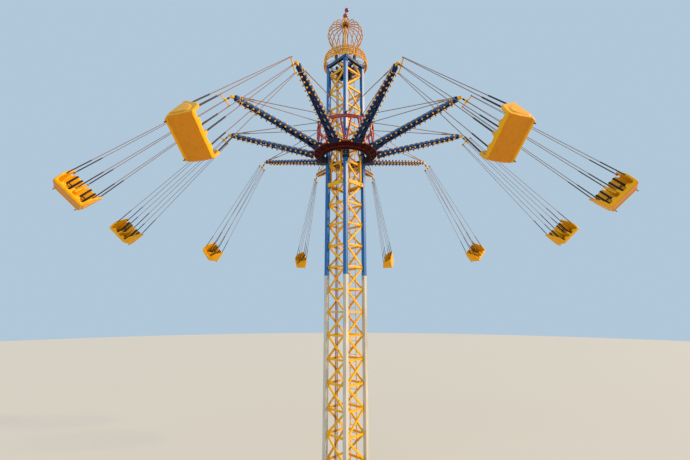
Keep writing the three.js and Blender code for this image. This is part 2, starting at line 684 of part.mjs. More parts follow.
// Assembly: tower and crown
addNode(tower, 'base_plate', geometryOf(basePlate()), GREY);
const corners = [[1, 1], [-1, 1], [-1, -1], [1, -1]];
corners.forEach(([sx, sy], i) => {
  const lower = column(sx, sy, BASE_THICK + 30 + SEAM, SPLIT_Z - SEAM / 2);
  const upper = column(sx, sy, SPLIT_Z + SEAM / 2, COLUMN_TOP);
  addNode(tower, `column_lower_${i + 1}`, geometryOf(lower), CREAM);
  addNode(tower, `column_upper_${i + 1}`, geometryOf(upper), BLUE);
});
for (let i = 0; i < 4; i += 1) {
  addNode(tower, `lattice_${i + 1}`, geometryOf(latticeFace()), YELLOW, 90 * i);
}
addNode(tower, 'top_frame', geometryOf(topFrame()), BLUE);
addNode(tower, 'hoist', geometryOf(hoist()), DARK);
addNode(crown, 'crown_skirt', geometryOf(crownSkirt()), GOLD);
addNode(crown, 'crown_globe', geometryOf(crownGlobe()), GOLD);
addNode(crown, 'finial', geometryOf(finial()), RED);

// Assembly: carriage, rotor and chairs
addNode(carriage, 'carriage_frame', geometryOf(carriageFrame()), YELLOW);
addNode(carriage, 'guide_rollers', geometryOf(guideRollers()), DARK);
addNode(rotor, 'lower_ring', geometryOf(lowerRing()), RED);
addNode(rotor, 'upper_ring', geometryOf(upperRing()), RED);
for (let i = 0; i < ARMS / 2; i += 1) addNode(rotor, `stays_${i + 1}`, geometryOf(stays(2 * i)), STEEL);
const armShape = arm();
const hangerShape = hanger();
const seatShape = seat();
for (let k = 0; k < ARMS; k += 1) {
  const label = String(k + 1).padStart(2, '0');
  addNode(rotor, `arm_${label}`, armShape, BLUE, FIRST_ARM_DEG + 36 * k);
  const chair = chairGroup(k);
  addNode(chair, `hanger_${label}`, hangerShape, GOLD);
  addNode(chair, `seat_${label}`, seatShape, SHELL);
  rotor.add(chair);
}

export default ride;
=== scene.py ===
# %% [markdown]
# A chair swing ride carries its riders round a lattice tower. A carriage climbs the tower, a ring
# turns on it, and ten arms on the ring each hang a double chair on steel ropes. The solids from
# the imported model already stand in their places, so this script only dresses them: it gives each
# a paint, and it lays finer pieces over the ones that a camera comes close to. Every length is in
# metres and Z points up.

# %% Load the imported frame
import math

import bmesh
import bpy
from mathutils import Matrix, Vector


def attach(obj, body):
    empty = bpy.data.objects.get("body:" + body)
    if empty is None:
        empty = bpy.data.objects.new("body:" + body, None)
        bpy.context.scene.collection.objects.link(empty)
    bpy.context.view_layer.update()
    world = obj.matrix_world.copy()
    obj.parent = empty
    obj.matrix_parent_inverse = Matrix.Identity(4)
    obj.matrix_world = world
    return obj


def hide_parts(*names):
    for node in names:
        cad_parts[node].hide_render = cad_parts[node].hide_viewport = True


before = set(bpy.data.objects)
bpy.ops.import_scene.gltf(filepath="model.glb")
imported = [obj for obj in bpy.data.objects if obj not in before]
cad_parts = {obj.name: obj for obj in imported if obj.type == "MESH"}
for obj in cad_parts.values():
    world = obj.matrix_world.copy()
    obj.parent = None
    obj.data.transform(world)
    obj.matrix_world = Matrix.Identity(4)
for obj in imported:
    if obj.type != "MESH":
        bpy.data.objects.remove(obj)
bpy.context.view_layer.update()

# %% [markdown]
# The same few lengths place everything, so they stand together here. Each is a real part of the
# ride: where the ring turns, how far out an arm ends, where the pin of a chair is and how far the
# chair swings out in flight. FACING says which way round each chair looks.

# %% Driving lengths
TOWER_HALF, COLUMN = 0.715, 0.18
INNER = TOWER_HALF - COLUMN
SPLIT_Z, TOP_FRAME_Z = 9.08, 20.4
RING_IN, RING_OUT = 1.235, 1.63
RING_LOW, RING_TOP = 15.1, 15.32
UPPER_R, UPPER_Z = 1.42, 16.65
ARM_COUNT, FIRST_ARM = 10, -27.0
ARM_STEP = 360 // ARM_COUNT
PIN_R, PIN_Z = 6.0, 16.3
SWING = math.radians(42.6)
SEAT_DROP = 7.03
FACING = [-1, -1, -1, -1, 1, 1, 1, 1, 1, 1]
CHAIRS = [f"{k + 1:02d}" for k in range(ARM_COUNT)]
print("arms:", ARM_COUNT, "set every", ARM_STEP, "degrees")

# %% [markdown]
# Nearly everything on this ride is placed by its bearing round the tower and its distance from
# the tower's axis. Working out sines and cosines in each cell would be hard to read, so a few
# small helpers do it. Flat plates are always drawn lying down, and a quarter turn stands them up.

# %% Points and turns
QUARTER = Matrix.Rotation(math.radians(90), 4, "X")
SIDEWAYS = Matrix.Rotation(math.radians(90), 4, "Y")


def polar(radius, degrees, height):
    """A point at that radius and bearing about the tower's axis."""
    turn = math.radians(degrees)
    return Vector((radius * math.cos(turn), radius * math.sin(turn), height))


def turn_z(degrees):
    """A turn about the tower's axis."""
    return Matrix.Rotation(math.radians(degrees), 4, "Z")


def at(x, y, z):
    """A shift to that point."""
    return Matrix.Translation((x, y, z))


def sided(side, near, far):
    """Two distances out on one side of the middle, the lower coordinate first."""
    return sorted((side * near, side * far))


def arm_bearing(k):
    """The bearing of arm k. The gap behind it is half a step further round."""
    return FIRST_ARM + ARM_STEP * k


print("arms at", [arm_bearing(k) for k in range(ARM_COUNT)])

# %% [markdown]
# Each chair hangs in a frame of its own, with the pin as its origin. In flight the ropes lean
# outwards by one angle, so Z of that frame follows the ropes up, Y looks ahead and X runs across.
# A part that is drawn once in this frame can then be copied to all ten chairs.

# %% Where the chairs hang
def chair_place(k):
    """Where chair k's own frame sits: the pin is its origin, X runs across, Y ahead, Z up."""
    bearing = arm_bearing(k)
    outward, around = polar(1, bearing, 0), polar(1, bearing + 90, 0)
    up = Vector((0, 0, math.cos(SWING))) - outward * math.sin(SWING)
    ahead = around * FACING[k]
    place = Matrix((ahead.cross(up), ahead, up)).transposed().to_4x4()
    place.translation = polar(PIN_R, bearing, PIN_Z)
    return place


chair_places = [chair_place(k) for k in range(ARM_COUNT)]
print("first pin at", [round(c, 3) for c in chair_places[0].translation])

# %% [markdown]
# The camera stands on the ground in front of one corner of the tower and looks up. A wide lens
# keeps the whole ride in view from close by. Its place and tilt come from lining up the arm ends,
# the bars and the crown.

# %% Camera
PICTURE_W = 690
LENS_PX = 367.35
CAMERA_AT = Vector((12.240, -12.496, 7.418))
HEADING = Vector((-0.7007, 0.7134, 0)).normalized()
PITCH = math.radians(12.552)

camera_data = bpy.data.cameras.new("camera")
camera_data.sensor_width = 36
camera_data.lens = LENS_PX / PICTURE_W * camera_data.sensor_width
camera_data.clip_end = 400
camera = bpy.data.objects.new("camera", camera_data)
bpy.context.scene.collection.objects.link(camera)
gaze = HEADING * math.cos(PITCH) + Vector((0, 0, math.sin(PITCH)))
right = gaze.cross(Vector((0, 0, 1))).normalized()
aim = Matrix((right, right.cross(gaze), -gaze)).transposed().to_4x4()
aim.translation = CAMERA_AT
camera.matrix_world = aim
bpy.context.scene.camera = camera
print("lens:", round(camera_data.lens, 2), "mm")

# %% [markdown]
# Shader trees and geometry trees are both made of nodes, so one small helper makes any node: it
# sets the node's options, then fills its inputs, with a link where it is given a socket and a
# plain value where it isn't. Sums are needed so often that they get a helper of their own.

# %% Helpers that make nodes
def node(tree, kind, inputs=None, **options):
    """One node in a tree. An input given as a socket is linked, and any other value is set."""
    made = tree.nodes.new(kind)
    for name, value in options.items():
        setattr(made, name, value)
    for key, value in (inputs or {}).items():
        if isinstance(value, bpy.types.NodeSocket):
            tree.links.new(value, made.inputs[key])
        else:
            made.inputs[key].default_value = value
    return made


def maths(tree, operation, *values):
    """The result of a sum on sockets and numbers."""
    return node(tree, "ShaderNodeMath", dict(enumerate(values)), operation=operation).outputs[0]


def rgb(code):
    """A web colour as the linear red, green and blue that shaders use."""
    parts = [int(code[i : i + 2], 16) / 255 for i in (1, 3, 5)]
    linear = [c / 12.92 if c <= 0.04045 else ((c + 0.055) / 1.055) ** 2.4 for c in parts]
    return (*linear, 1)


print("helpers ready; pale cream is", [round(c, 2) for c in rgb("#e6dcc4")])

# %% [markdown]
# Paint that lives outdoors is never one flat colour: it is a little paler in places, rain draws
# streaks down it, and dirt gathers in blotches. Photographs could give this, but noise is endless
# and needs no pictures. One group makes the effect for every finish, so each finish only says how
# strong and how large it is.

# %% Weathered surface, a shader group
WEATHER_INPUTS = [
    ("Vector", "NodeSocketVector", (0, 0, 0)),
    ("Paint", "NodeSocketColor", (0.5, 0.5, 0.5, 1)),
    ("Dirt", "NodeSocketColor", (0.1, 0.07, 0.04, 1)),
    ("Fade", "NodeSocketFloat", 0.1),
    ("Streaks", "NodeSocketFloat", 0.2),
    ("Blotches", "NodeSocketFloat", 0.2),
    ("Roughness", "NodeSocketFloat", 0.4),
]
WEATHER_OUTPUTS = [("Color", "NodeSocketColor"), ("Roughness", "NodeSocketFloat"),
                   ("Height", "NodeSocketFloat")]


def noise(tree, where, scale, detail, roughness=0.5):
    """The height of a noise pattern."""
    return node(tree, "ShaderNodeTexNoise", {"Vector": where, "Scale": scale, "Detail": detail,
                                             "Roughness": roughness}).outputs[0]


def ramp(tree, value, low, high, bottom=0.0, top=1.0):
    """The value stretched, so that low becomes bottom and high becomes top."""
    return node(tree, "ShaderNodeMapRange",
                {0: value, 1: low, 2: high, 3: bottom, 4: top}).outputs[0]


def weather_group():
    tree = bpy.data.node_groups.new("weathered surface", "ShaderNodeTree")
    for name, kind, value in WEATHER_INPUTS:
        made = tree.interface.new_socket(name, in_out="INPUT", socket_type=kind)
        made.default_value = value
    for name, kind in WEATHER_OUTPUTS:
        tree.interface.new_socket(name, in_out="OUTPUT", socket_type=kind)
    given = node(tree, "NodeGroupInput").outputs
    result = node(tree, "NodeGroupOutput")
    broad = noise(tree, given["Vector"], 0.9, 4)
    fine = noise(tree, given["Vector"], 9, 8, 0.65)
    tall = node(tree, "ShaderNodeMapping", {"Vector": given["Vector"], "Scale": (7, 7, 0.35)})
    rain = noise(tree, tall.outputs[0], 2.2, 5)
    lift = maths(tree, "MULTIPLY_ADD", ramp(tree, broad, 0.3, 0.7, -1, 1), given["Fade"], 1.0)
    faded = node(tree, "ShaderNodeVectorMath", {0: given["Paint"], "Scale": lift},
                 operation="SCALE")
    streak = maths(tree, "MULTIPLY", ramp(tree, rain, 0.52, 0.75), given["Streaks"])
    blotch = maths(tree, "MULTIPLY", ramp(tree, fine, 0.55, 0.8), given["Blotches"])
    dirt = maths(tree, "MAXIMUM", streak, blotch)
    # A Mix node has an A and a B for each kind of value, and 6 and 7 are the two colours
    colour = node(tree, "ShaderNodeMix", {0: dirt, 6: faded.outputs[0], 7: given["Dirt"]},
                  data_type="RGBA")
    tree.links.new(colour.outputs[2], result.inputs["Color"])
    tree.links.new(maths(tree, "MULTIPLY_ADD", dirt, 0.35, given["Roughness"]),
                   result.inputs["Roughness"])
    tree.links.new(fine, result.inputs["Height"])
    return tree


WEATHER = weather_group()
print("weather group has", len(WEATHER.nodes), "nodes")

# %% [markdown]
# Every finish on the ride is the same recipe with other numbers: a base colour, how metallic and
# how shiny it is, and how the weather has treated it. The noise reads the object's own
# coordinates, which stay with the piece when it moves. The few glossy ones get a clear coat, as
# sprayed enamel and moulded plastic have.

# %% The recipe for a finish
COAT_ROUGHNESS = 0.12


def finish(name, colour, rough, metal=0.0, coat=0.0, dirt="#2b2016", fade=0.1, streaks=0.25,
           blotches=0.25, bump=0.02, scale=1.0, shine=0.5):
    """A weathered material. Scale sets how fine the noise is, and shine how much it reflects."""
    made = bpy.data.materials.new(name)
    made.use_nodes = True
    tree = made.node_tree
    shader = tree.nodes["Principled BSDF"]
    place = node(tree, "ShaderNodeTexCoord").outputs["Object"]
    fit = node(tree, "ShaderNodeMapping", {"Vector": place, "Scale": (scale,) * 3})
    worn = node(tree, "ShaderNodeGroup", node_tree=WEATHER)
    tree.links.new(fit.outputs[0], worn.inputs["Vector"])
    for key, value in [("Paint", rgb(colour)), ("Dirt", rgb(dirt)), ("Fade", fade),
                       ("Streaks", streaks), ("Blotches", blotches), ("Roughness", rough)]:
        worn.inputs[key].default_value = value
    relief = node(tree, "ShaderNodeBump", {"Height": worn.outputs["Height"],
                                           "Strength": bump * 10, "Distance": 0.01})
    tree.links.new(worn.outputs["Color"], shader.inputs["Base Color"])
    tree.links.new(worn.outputs["Roughness"], shader.inputs["Roughness"])
    tree.links.new(relief.outputs[0], shader.inputs["Normal"])
    shader.inputs["Metallic"].default_value = metal
    shader.inputs["Coat Weight"].default_value = coat
    shader.inputs["Coat Roughness"].default_value = COAT_ROUGHNESS
    shader.inputs["Specular IOR Level"].default_value = shine
    return made


print("finishes can be mixed")

# %% [markdown]
# The colours were matched in the render, one finish at a time. Enamel on the tower and the arms is
# fairly smooth, gold on the crown has a little metal in it, and the chairs are moulded plastic,
# with a darker amber underneath that is painted shade.

# %% Paints, metals and plastics
BLUE = finish("blue enamel", "#0066ac", 0.42, dirt="#0a1e3a", streaks=0.3, shine=0.5)
# A darker blue that is painted shade, on the walls, floor, gussets, frames and nose of the arms
SHADED_BLUE = finish("dark blue painted shade", "#06204e", 0.6, dirt="#0e0c14", streaks=0.3, shine=0.2)
CREAM = finish("cream enamel", "#cbc5b4", 0.45, coat=0.05, dirt="#7a5b39", streaks=0.4,
               blotches=0.35)
YELLOW = finish("golden yellow enamel", "#f6b400", 0.55, dirt="#8a5a09", streaks=0.3,
                blotches=0.35, shine=0.25)
RED = finish("brick red enamel", "#9c2216", 0.5, dirt="#2a0f0c", shine=0.3)
STRUT_RED = finish("strut red enamel", "#ab2b33", 0.4, coat=0.15, dirt="#3c1212", streaks=0.4)
# Grease under the ring and the carriage, darkened further as painted shade
GREASE_AND_SHADE = finish("grease and painted shade underneath", "#3a0b08", 0.7, dirt="#120605", streaks=0.2, shine=0.1)
GOLD = finish("gold paint", "#eba70e", 0.45, metal=0.1, dirt="#7a4a0c", blotches=0.4, shine=0.4)
ORANGE_GOLD = finish("orange gold paint", "#c97c0e", 0.4, dirt="#6f390c", blotches=0.35,
                     shine=0.3)
COPPER = finish("copper red ball", "#9c3a14", 0.4, coat=0.2, dirt="#4a160a")
GREY = finish("primed grey steel", "#6d7073", 0.5, dirt="#3a2a1c", blotches=0.5)
# Dark iron, and also painted shade under the top frame and in the hoist housings
IRON_AND_SHADE = finish("dark oiled iron and painted shade", "#17161a", 0.5, metal=0.3, dirt="#100c08", blotches=0.4)
STEEL = finish("galvanised steel", "#9c6a40", 0.45, metal=0.3, dirt="#4a3826", scale=3)
ZINC = finish("zinc bolts", "#98958c", 0.4, metal=0.7, dirt="#5b4630", scale=4)
SHELL = finish("orange yellow plastic", "#f6ae00", 0.4, dirt="#9a5404", fade=0.04, streaks=0.2,
               blotches=0.3, bump=0.01, shine=0.2)
# A darker amber that is painted shade under the chairs
SHELL_SHADE = finish("amber plastic in painted shade", "#e08a00", 0.45, dirt="#8a4804", fade=0.05,
                     streaks=0.2, blotches=0.35, bump=0.01, shine=0.25)
RUBBER = finish("black rubber", "#131316", 0.6, dirt="#2c271f", scale=5)
HOSE = finish("dark red-brown hose", "#331b1c", 0.55, dirt="#1c1212", scale=5)
BRASS = finish("old bronze cup", "#4a2c10", 0.45, metal=0.3, dirt="#24160a")
PIPE = finish("red-brown pipe enamel", "#8f4d1e", 0.5, dirt="#3a1c0c", blotches=0.5)
MAGENTA = finish("red lamp cover", "#941a50", 0.25, coat=0.6, dirt="#3a0a1c")
print("finishes:", len(bpy.data.materials))

# %% [markdown]
# Three finishes need more than weather. A cabochon lamp is a faceted amber cap that looks lit
# even by day, so it gets a little light of its own. Steel rope is laid in strands, and belts are
# woven. Both are fine ridges that run one way, so a slanting wave makes them as relief, and
# nothing has to be modelled strand by strand.

# %% Lamp, rope and belt finishes
def lamp_finish():
    made = finish("amber lamp", "#f2ac18", 0.35, coat=0.1, dirt="#9a5a08", streaks=0.0,
                  blotches=0.3)
    shader = made.node_tree.nodes["Principled BSDF"]
    shader.inputs["Emission Color"].default_value = rgb("#ffb020")
    shader.inputs["Emission Strength"].default_value = 0.15
    return made


def ridged_finish(name, colour, rough, metal, scale, depth):
    """A finish with fine slanting ridges, for rope, hose and webbing."""
    made = finish(name, colour, rough, metal=metal, dirt="#40301f", scale=4)
    tree = made.node_tree
    place = node(tree, "ShaderNodeTexCoord").outputs["Object"]
    wave = node(tree, "ShaderNodeTexWave", {"Vector": place, "Scale": scale, "Distortion": 0.4},
                bands_direction="DIAGONAL")
    ridge = node(tree, "ShaderNodeBump", {
        "Height": wave.outputs["Fac"], "Strength": 0.6, "Distance": depth,
        "Normal": tree.nodes["Bump"].outputs[0]})
    tree.links.new(ridge.outputs[0], tree.nodes["Principled BSDF"].inputs["Normal"])
    return made


LAMP = lamp_finish()
ROPE = ridged_finish("steel rope", "#8a6346", 0.5, 0.1, 28, 0.004)
WEBBING = ridged_finish("black webbing", "#15161a", 0.75, 0.0, 60, 0.002)
print("lamp, rope and webbing ready")

# %% [markdown]
# The solids take their finish straight away, also those that a finer piece will replace, so that
# each looks right whenever it is shown. The columns are enamelled in two colours, one above the
# other. The top frame is blue at its sides and dark on its short posts, and it is also dark
# underneath, which is painted shade.

# %% Paint the solids
STAY_NODES = [f"stays_{i}" for i in range(1, 6)]
PAINTS = {"base_plate": GREY, "hoist": IRON_AND_SHADE, "crown_skirt": GOLD, "crown_globe": GOLD,
          "finial": MAGENTA, "carriage_frame": YELLOW, "guide_rollers": IRON_AND_SHADE, "lower_ring": RED,
          "upper_ring": STRUT_RED, **{name: STEEL for name in STAY_NODES}}
for i in range(1, 5):
    PAINTS |= {f"column_lower_{i}": CREAM, f"column_upper_{i}": BLUE, f"lattice_{i}": YELLOW}
for label in CHAIRS:
    PAINTS |= {f"arm_{label}": BLUE, f"hanger_{label}": ORANGE_GOLD, f"seat_{label}": SHELL}


def paint(name, *materials):
    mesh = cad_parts[name].data
    mesh.materials.clear()
    for material in materials:
        mesh.materials.append(material)


for name, material in PAINTS.items():
    paint(name, material)
paint("top_frame", BLUE, IRON_AND_SHADE)
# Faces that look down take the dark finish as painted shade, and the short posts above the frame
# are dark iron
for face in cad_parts["top_frame"].data.polygons:
    face.material_index = int(face.center.z > TOP_FRAME_Z + 0.01 or face.normal.z < -0.5)
print("painted", len(PAINTS) + 1, "of", len(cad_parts), "solids")

# %% [markdown]
# Most fittings start as a rounded block or as a shape turned on a lathe. Both could be added by
# hand as primitives with modifiers, but a few lines of bmesh give a finished mesh at once, in
# metres and with its edges already rounded. A real edge is never quite sharp, and its round
# catches the light.

# %% Blocks and turned shapes
ON_AXIS = 1e-6


def mesh_of(work):
    """The bmesh as a mesh, with its normals facing out."""
    bmesh.ops.recalc_face_normals(work, faces=work.faces)
    made = bpy.data.meshes.new("part")
    work.to_mesh(made)
    work.free()
    return made


def block(low, high, bevel=0.008, segments=2):
    """A box between two corners, with rounded edges."""
    work = bmesh.new()
    bmesh.ops.create_cube(work, size=1)
    size, middle = Vector(high) - Vector(low), (Vector(high) + Vector(low)) / 2
    for v in work.verts:
        v.co = Vector((v.co[i] * size[i] + middle[i] for i in range(3)))
    bmesh.ops.bevel(work, geom=work.edges[:], offset=bevel, segments=segments, profile=0.5,
                    affect="EDGES")
    return mesh_of(work)


def turned(profile, sides):
    """A closed outline of radius and height, turned about Z. Points on the axis close the ends."""
    work = bmesh.new()
    rings = []
    for radius, height in profile:
        if radius < ON_AXIS:
            rings.append([work.verts.new((0, 0, height))] * sides)
        else:
            rings.append([work.verts.new(polar(radius, 360 * s / sides, height))
                          for s in range(sides)])
    closed = profile[0][0] > ON_AXIS
    for a in range(len(rings) if closed else len(rings) - 1):
        low, high = rings[a], rings[(a + 1) % len(rings)]
        for s in range(sides):
            corners = [low[s], low[(s + 1) % sides], high[(s + 1) % sides], high[s]]
            distinct = list(dict.fromkeys(corners))
            if len(distinct) > 2:
                work.faces.new(distinct)
    return mesh_of(work)


print("a pin has", len(turned([(0, 0), (0.01, 0), (0.01, 0.1), (0, 0.1)], 12).polygons), "faces")

# %% [markdown]
# Sheet steel is cut flat and then drilled or windowed. A filled 2-D curve does just that: its
# first loop is the edge, and every further loop inside it is a hole. It also rounds the edges by
# itself, which a cut made with a boolean would not.

# %% Plates with windows
def plain_mesh(holder):
    """What an object's curve or modifiers give, as a plain mesh. The object is used up."""
    bpy.context.scene.collection.objects.link(holder)
    bpy.context.view_layer.update()
    seen = holder.evaluated_get(bpy.context.evaluated_depsgraph_get())
    made = bpy.data.meshes.new_from_object(seen)
    bpy.data.objects.remove(holder)
    return made


def plate(outline, windows, thick, bevel=0.003):
    """A flat plate in X and Y, centred on Z, with windows cut through it."""
    curve = bpy.data.curves.new("plate", "CURVE")
    curve.dimensions = "2D"
    curve.fill_mode = "BOTH"
    curve.extrude = thick / 2 - bevel
    curve.bevel_depth = bevel
    curve.bevel_resolution = 1
    for loop in [outline, *windows]:
        line = curve.splines.new("POLY")
        line.points.add(len(loop) - 1)
        for point, (x, y) in zip(line.points, loop):
            point.co = (x, y, 0, 1)
        line.use_cyclic_u = True
    made = plain_mesh(bpy.data.objects.new("plate", curve))
    bpy.data.curves.remove(curve)
    return made


def oblong(x_low, y_low, x_high, y_high):
    """The corners of a rectangle, as an outline."""
    return [(x_low, y_low), (x_high, y_low), (x_high, y_high), (x_low, y_high)]


def rounded(corners, radius, steps=4):
    """A polygon with its corners rounded off, each by less than half of its shorter side."""
    out = []
    for i, corner in enumerate(corners):
        here = Vector(corner)
        before, after = Vector(corners[i - 1]), Vector(corners[(i + 1) % len(corners)])
        a, b = (before - here).normalized(), (after - here).normalized()
        shorter = min((before - here).length, (after - here).length)
        reach = min(radius / max(0.05, math.tan(a.angle(b) / 2)), shorter * 0.45)
        start, end = here + a * reach, here + b * reach
        for s in range(steps + 1):
            t = s / steps
            out.append(tuple(start * (1 - t) ** 2 + here * 2 * t * (1 - t) + end * t * t))
    return out


print("a rounded square has", len(rounded(oblong(0, 0, 1, 1), 0.1)), "corners")

# %% [markdown]
# Belts and flat bars follow a path but stay flat. A curve with a bevel would twist them where the
# path bends, so a strap is built ring by ring instead, each ring turned to keep its width along
# one given direction.

# %% Straps
def strap(points, across, width, thick, rounding=0.3):
    """A flat band with soft edges along the points, its width along the across direction."""
    points, across = [Vector(p) for p in points], Vector(across).normalized()
    section = [(-1, -rounding), (-1, rounding), (-0.85, 1), (0.85, 1), (1, rounding),
               (1, -rounding), (0.85, -1), (-0.85, -1)]
    work, rings = bmesh.new(), []
    for i, point in enumerate(points):
        way = (points[min(i + 1, len(points) - 1)] - points[max(i - 1, 0)]).normalized()
        out = way.cross(across).normalized()
        rings.append([work.verts.new(point + across * u * width / 2 + out * v * thick / 2)
                      for u, v in section])
    for a, b in zip(rings, rings[1:]):
        for s in range(len(section)):
            t = (s + 1) % len(section)
            work.faces.new([a[s], a[t], b[t], b[s]])
    work.faces.new(rings[0][::-1])
    work.faces.new(rings[-1])
    return mesh_of(work)


def curve_through(points, steps=5):
    """A smooth line through the points."""
    points = [Vector(p) for p in points]
    out = []
    for i in range(len(points) - 1):
        p0, p1, p2 = points[max(0, i - 1)], points[i], points[i + 1]
        p3 = points[min(len(points) - 1, i + 2)]
        for s in range(steps):
            t = s / steps
            out.append(0.5 * (2 * p1 + (p2 - p0) * t + (2 * p0 - 5 * p1 + 4 * p2 - p3) * t * t
                              + (3 * p1 - p0 - 3 * p2 + p3) * t * t * t))
    return [*out, points[-1]]


sample = strap([(0, 0, 0), (1, 0, 0)], (0, 1, 0), 0.1, 0.01)
print("a strap between two points has", len(sample.polygons), "faces")

# %% [markdown]
# Finer pieces are gathered from such parts. Each piece is one mesh on one body. Its vertices are
# moved to their place on the ride and its object stays at the origin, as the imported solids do.
# Where two faces meet at a steep angle their edge stays sharp, and everything else is shaded
# smooth.

# %% Gather parts into pieces
SHARP_FROM = math.radians(35)


class Piece:
    """Gathers parts, each with its own finish, into one mesh."""

    def __init__(self, *materials):
        self.work, self.materials = bmesh.new(), materials

    def add(self, part, place=None, finish_index=0, smooth=True):
        """Adds a copy of a part at a place. The part may be used again."""
        old_verts, old_faces = len(self.work.verts), len(self.work.faces)
        self.work.from_mesh(part)
        self.work.verts.ensure_lookup_table()
        self.work.faces.ensure_lookup_table()
        if place is not None:
            bmesh.ops.transform(self.work, matrix=place, verts=self.work.verts[old_verts:])
        for face in self.work.faces[old_faces:]:
            face.material_index, face.smooth = finish_index, smooth
        return self

    def mesh(self, name):
        """The gathered mesh, with its steep edges kept sharp."""
        made = bpy.data.meshes.new(name)
        self.work.to_mesh(made)
        self.work.free()
        for material in self.materials:
            made.materials.append(material)
        made.set_sharp_from_angle(angle=SHARP_FROM)
        return made


def merged(meshes, name, materials):
    """Several meshes with their own finishes, as one mesh."""
    work = bmesh.new()
    for part in meshes:
        start = len(work.faces)
        own = [materials.index(m) if m else 0 for m in part.materials]
        work.from_mesh(part)
        work.faces.ensure_lookup_table()
        for face in work.faces[start:]:
            face.material_index = own[face.material_index]
        bpy.data.meshes.remove(part)
    made = bpy.data.meshes.new(name)
    work.to_mesh(made)
    work.free()
    for material in materials:
        made.materials.append(material)
    return made


print("pieces keep edges sharp from", round(math.degrees(SHARP_FROM)), "degrees")

# %% [markdown]
# A piece has to know which body carries it, so that it moves with the right joint. Where it takes
# the place of a solid, it says so. The ten chairs are alike, so one mesh is copied to every
# chair's frame.

# %% Show pieces on their bodies
def place_piece(mesh, name, body, replaces=()):
    """Shows a mesh as one piece that rides on a body, and hides the solids it replaces."""
    shown = bpy.data.objects.new(name, mesh)
    bpy.context.scene.collection.objects.link(shown)
    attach(shown, body)
    if replaces:
        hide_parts(*replaces)
    mesh.calc_loop_triangles()
    print(f"{name}: {len(mesh.loop_triangles)} triangles on {body}")


def on_chairs(mesh, name, replaced=None):
    """A copy of a chair part for each chair, set in its place."""
    for k, label in enumerate(CHAIRS):
        copy = mesh.copy()
        copy.transform(chair_places[k])
        gone = [f"{replaced}_{label}"] if replaced else ()
        place_piece(copy, f"{name}_{label}", f"chair_{label}", gone)
    bpy.data.meshes.remove(mesh)


# %% [markdown]
# Most of this ride is bar, rope and rows of lamps, which all follow lines. So the lines are drawn
# once as edges, and geometry trees dress them. Every tree starts and ends alike: its sizes are
# named inputs, and at its end the copies are made real and given their finish, because an export
# keeps no instances.

# %% Start and end of a geometry tree
def new_tree(name, sizes):
    """An empty geometry tree with named inputs, and its input sockets and output node."""
    tree = bpy.data.node_groups.new(name, "GeometryNodeTree")
    tree.interface.new_socket("Geometry", in_out="INPUT", socket_type="NodeSocketGeometry")
    for label, kind, value in sizes:
        made = tree.interface.new_socket(label, in_out="INPUT", socket_type="NodeSocket" + kind)
        if value is not None:
            made.default_value = value
    tree.interface.new_socket("Geometry", in_out="OUTPUT", socket_type="NodeSocketGeometry")
    return tree, node(tree, "NodeGroupInput").outputs, node(tree, "NodeGroupOutput")


def made_real(tree, geometry, material, smooth=True):
    """Realizes what the tree made, shades it and gives it its finish."""
    real = node(tree, "GeometryNodeRealizeInstances", {"Geometry": geometry}).outputs[0]
    shade = node(tree, "GeometryNodeSetShadeSmooth", {"Geometry": real, "Shade Smooth": smooth})
    return node(tree, "GeometryNodeSetMaterial",
                {"Geometry": shade.outputs[0], "Material": material}).outputs[0]


def even_points(tree, given):
    """Points along the lines, as far apart as the tree's Spacing says."""
    line = node(tree, "GeometryNodeMeshToCurve", {"Mesh": given["Geometry"]}).outputs[0]
    return node(tree, "GeometryNodeResampleCurve", {"Curve": line, "Length": given["Spacing"]},
                mode="LENGTH").outputs[0]


def outward_turns(tree):
    """The turn at each point that stands a shape up along the stored outward direction."""
    stored = node(tree, "GeometryNodeInputNamedAttribute", {"Name": "outward"},
                  data_type="FLOAT_VECTOR").outputs[0]
    return node(tree, "FunctionNodeAlignRotationToVector", {"Vector": stored},
                axis="Z").outputs[0]


def copies(tree, points, shape, turns):
    """A copy of the shape on every point."""
    return node(tree, "GeometryNodeInstanceOnPoints",
                {"Points": points, "Instance": shape, "Rotation": turns}).outputs[0]


print("trees share their start and their end")

# %% [markdown]
# A round bar is a circle swept along a line. The same tree makes everything from thin rope to the
# thick legs of the ring, because the radius and the number of sides are inputs. Rings are small
# hoops of wire, set along a line.

# %% Trees for bars and rings
def bar_tree():
    tree, given, result = new_tree("round bar on a line", [
        ("Radius", "Float", 0.02), ("Sides", "Int", 10), ("Material", "Material", None)])
    line = node(tree, "GeometryNodeMeshToCurve", {"Mesh": given["Geometry"]}).outputs[0]
    ring = node(tree, "GeometryNodeCurvePrimitiveCircle",
                {"Resolution": given["Sides"], "Radius": given["Radius"]}).outputs[0]
    swept = node(tree, "GeometryNodeCurveToMesh",
                 {"Curve": line, "Profile Curve": ring, "Fill Caps": True}).outputs[0]
    tree.links.new(made_real(tree, swept, given["Material"]), result.inputs[0])
    return tree


def ring_tree():
    tree, given, result = new_tree("rings along a line", [
        ("Spacing", "Float", 0.03), ("Ring Radius", "Float", 0.02), ("Wire", "Float", 0.004),
        ("Sides", "Int", 8), ("Material", "Material", None)])
    hoop = node(tree, "GeometryNodeCurvePrimitiveCircle",
                {"Resolution": given["Sides"], "Radius": given["Ring Radius"]}).outputs[0]
    wire = node(tree, "GeometryNodeCurvePrimitiveCircle",
                {"Resolution": 4, "Radius": given["Wire"]}).outputs[0]
    torus = node(tree, "GeometryNodeCurveToMesh", {"Curve": hoop, "Profile Curve": wire})
    set_out = copies(tree, even_points(tree, given), torus.outputs[0], outward_turns(tree))
    tree.links.new(made_real(tree, set_out, given["Material"]), result.inputs[0])
    return tree


BARS, RINGS = bar_tree(), ring_tree()
print("trees:", BARS.name, "and", RINGS.name)

# %% [markdown]
# A cabochon lamp is an amber cap in a bronze cup on a short stem. The ride has well over a
# thousand, so each may have only a few dozen faces. All its sizes are shares of one radius, which
# keeps the shape right at any size.

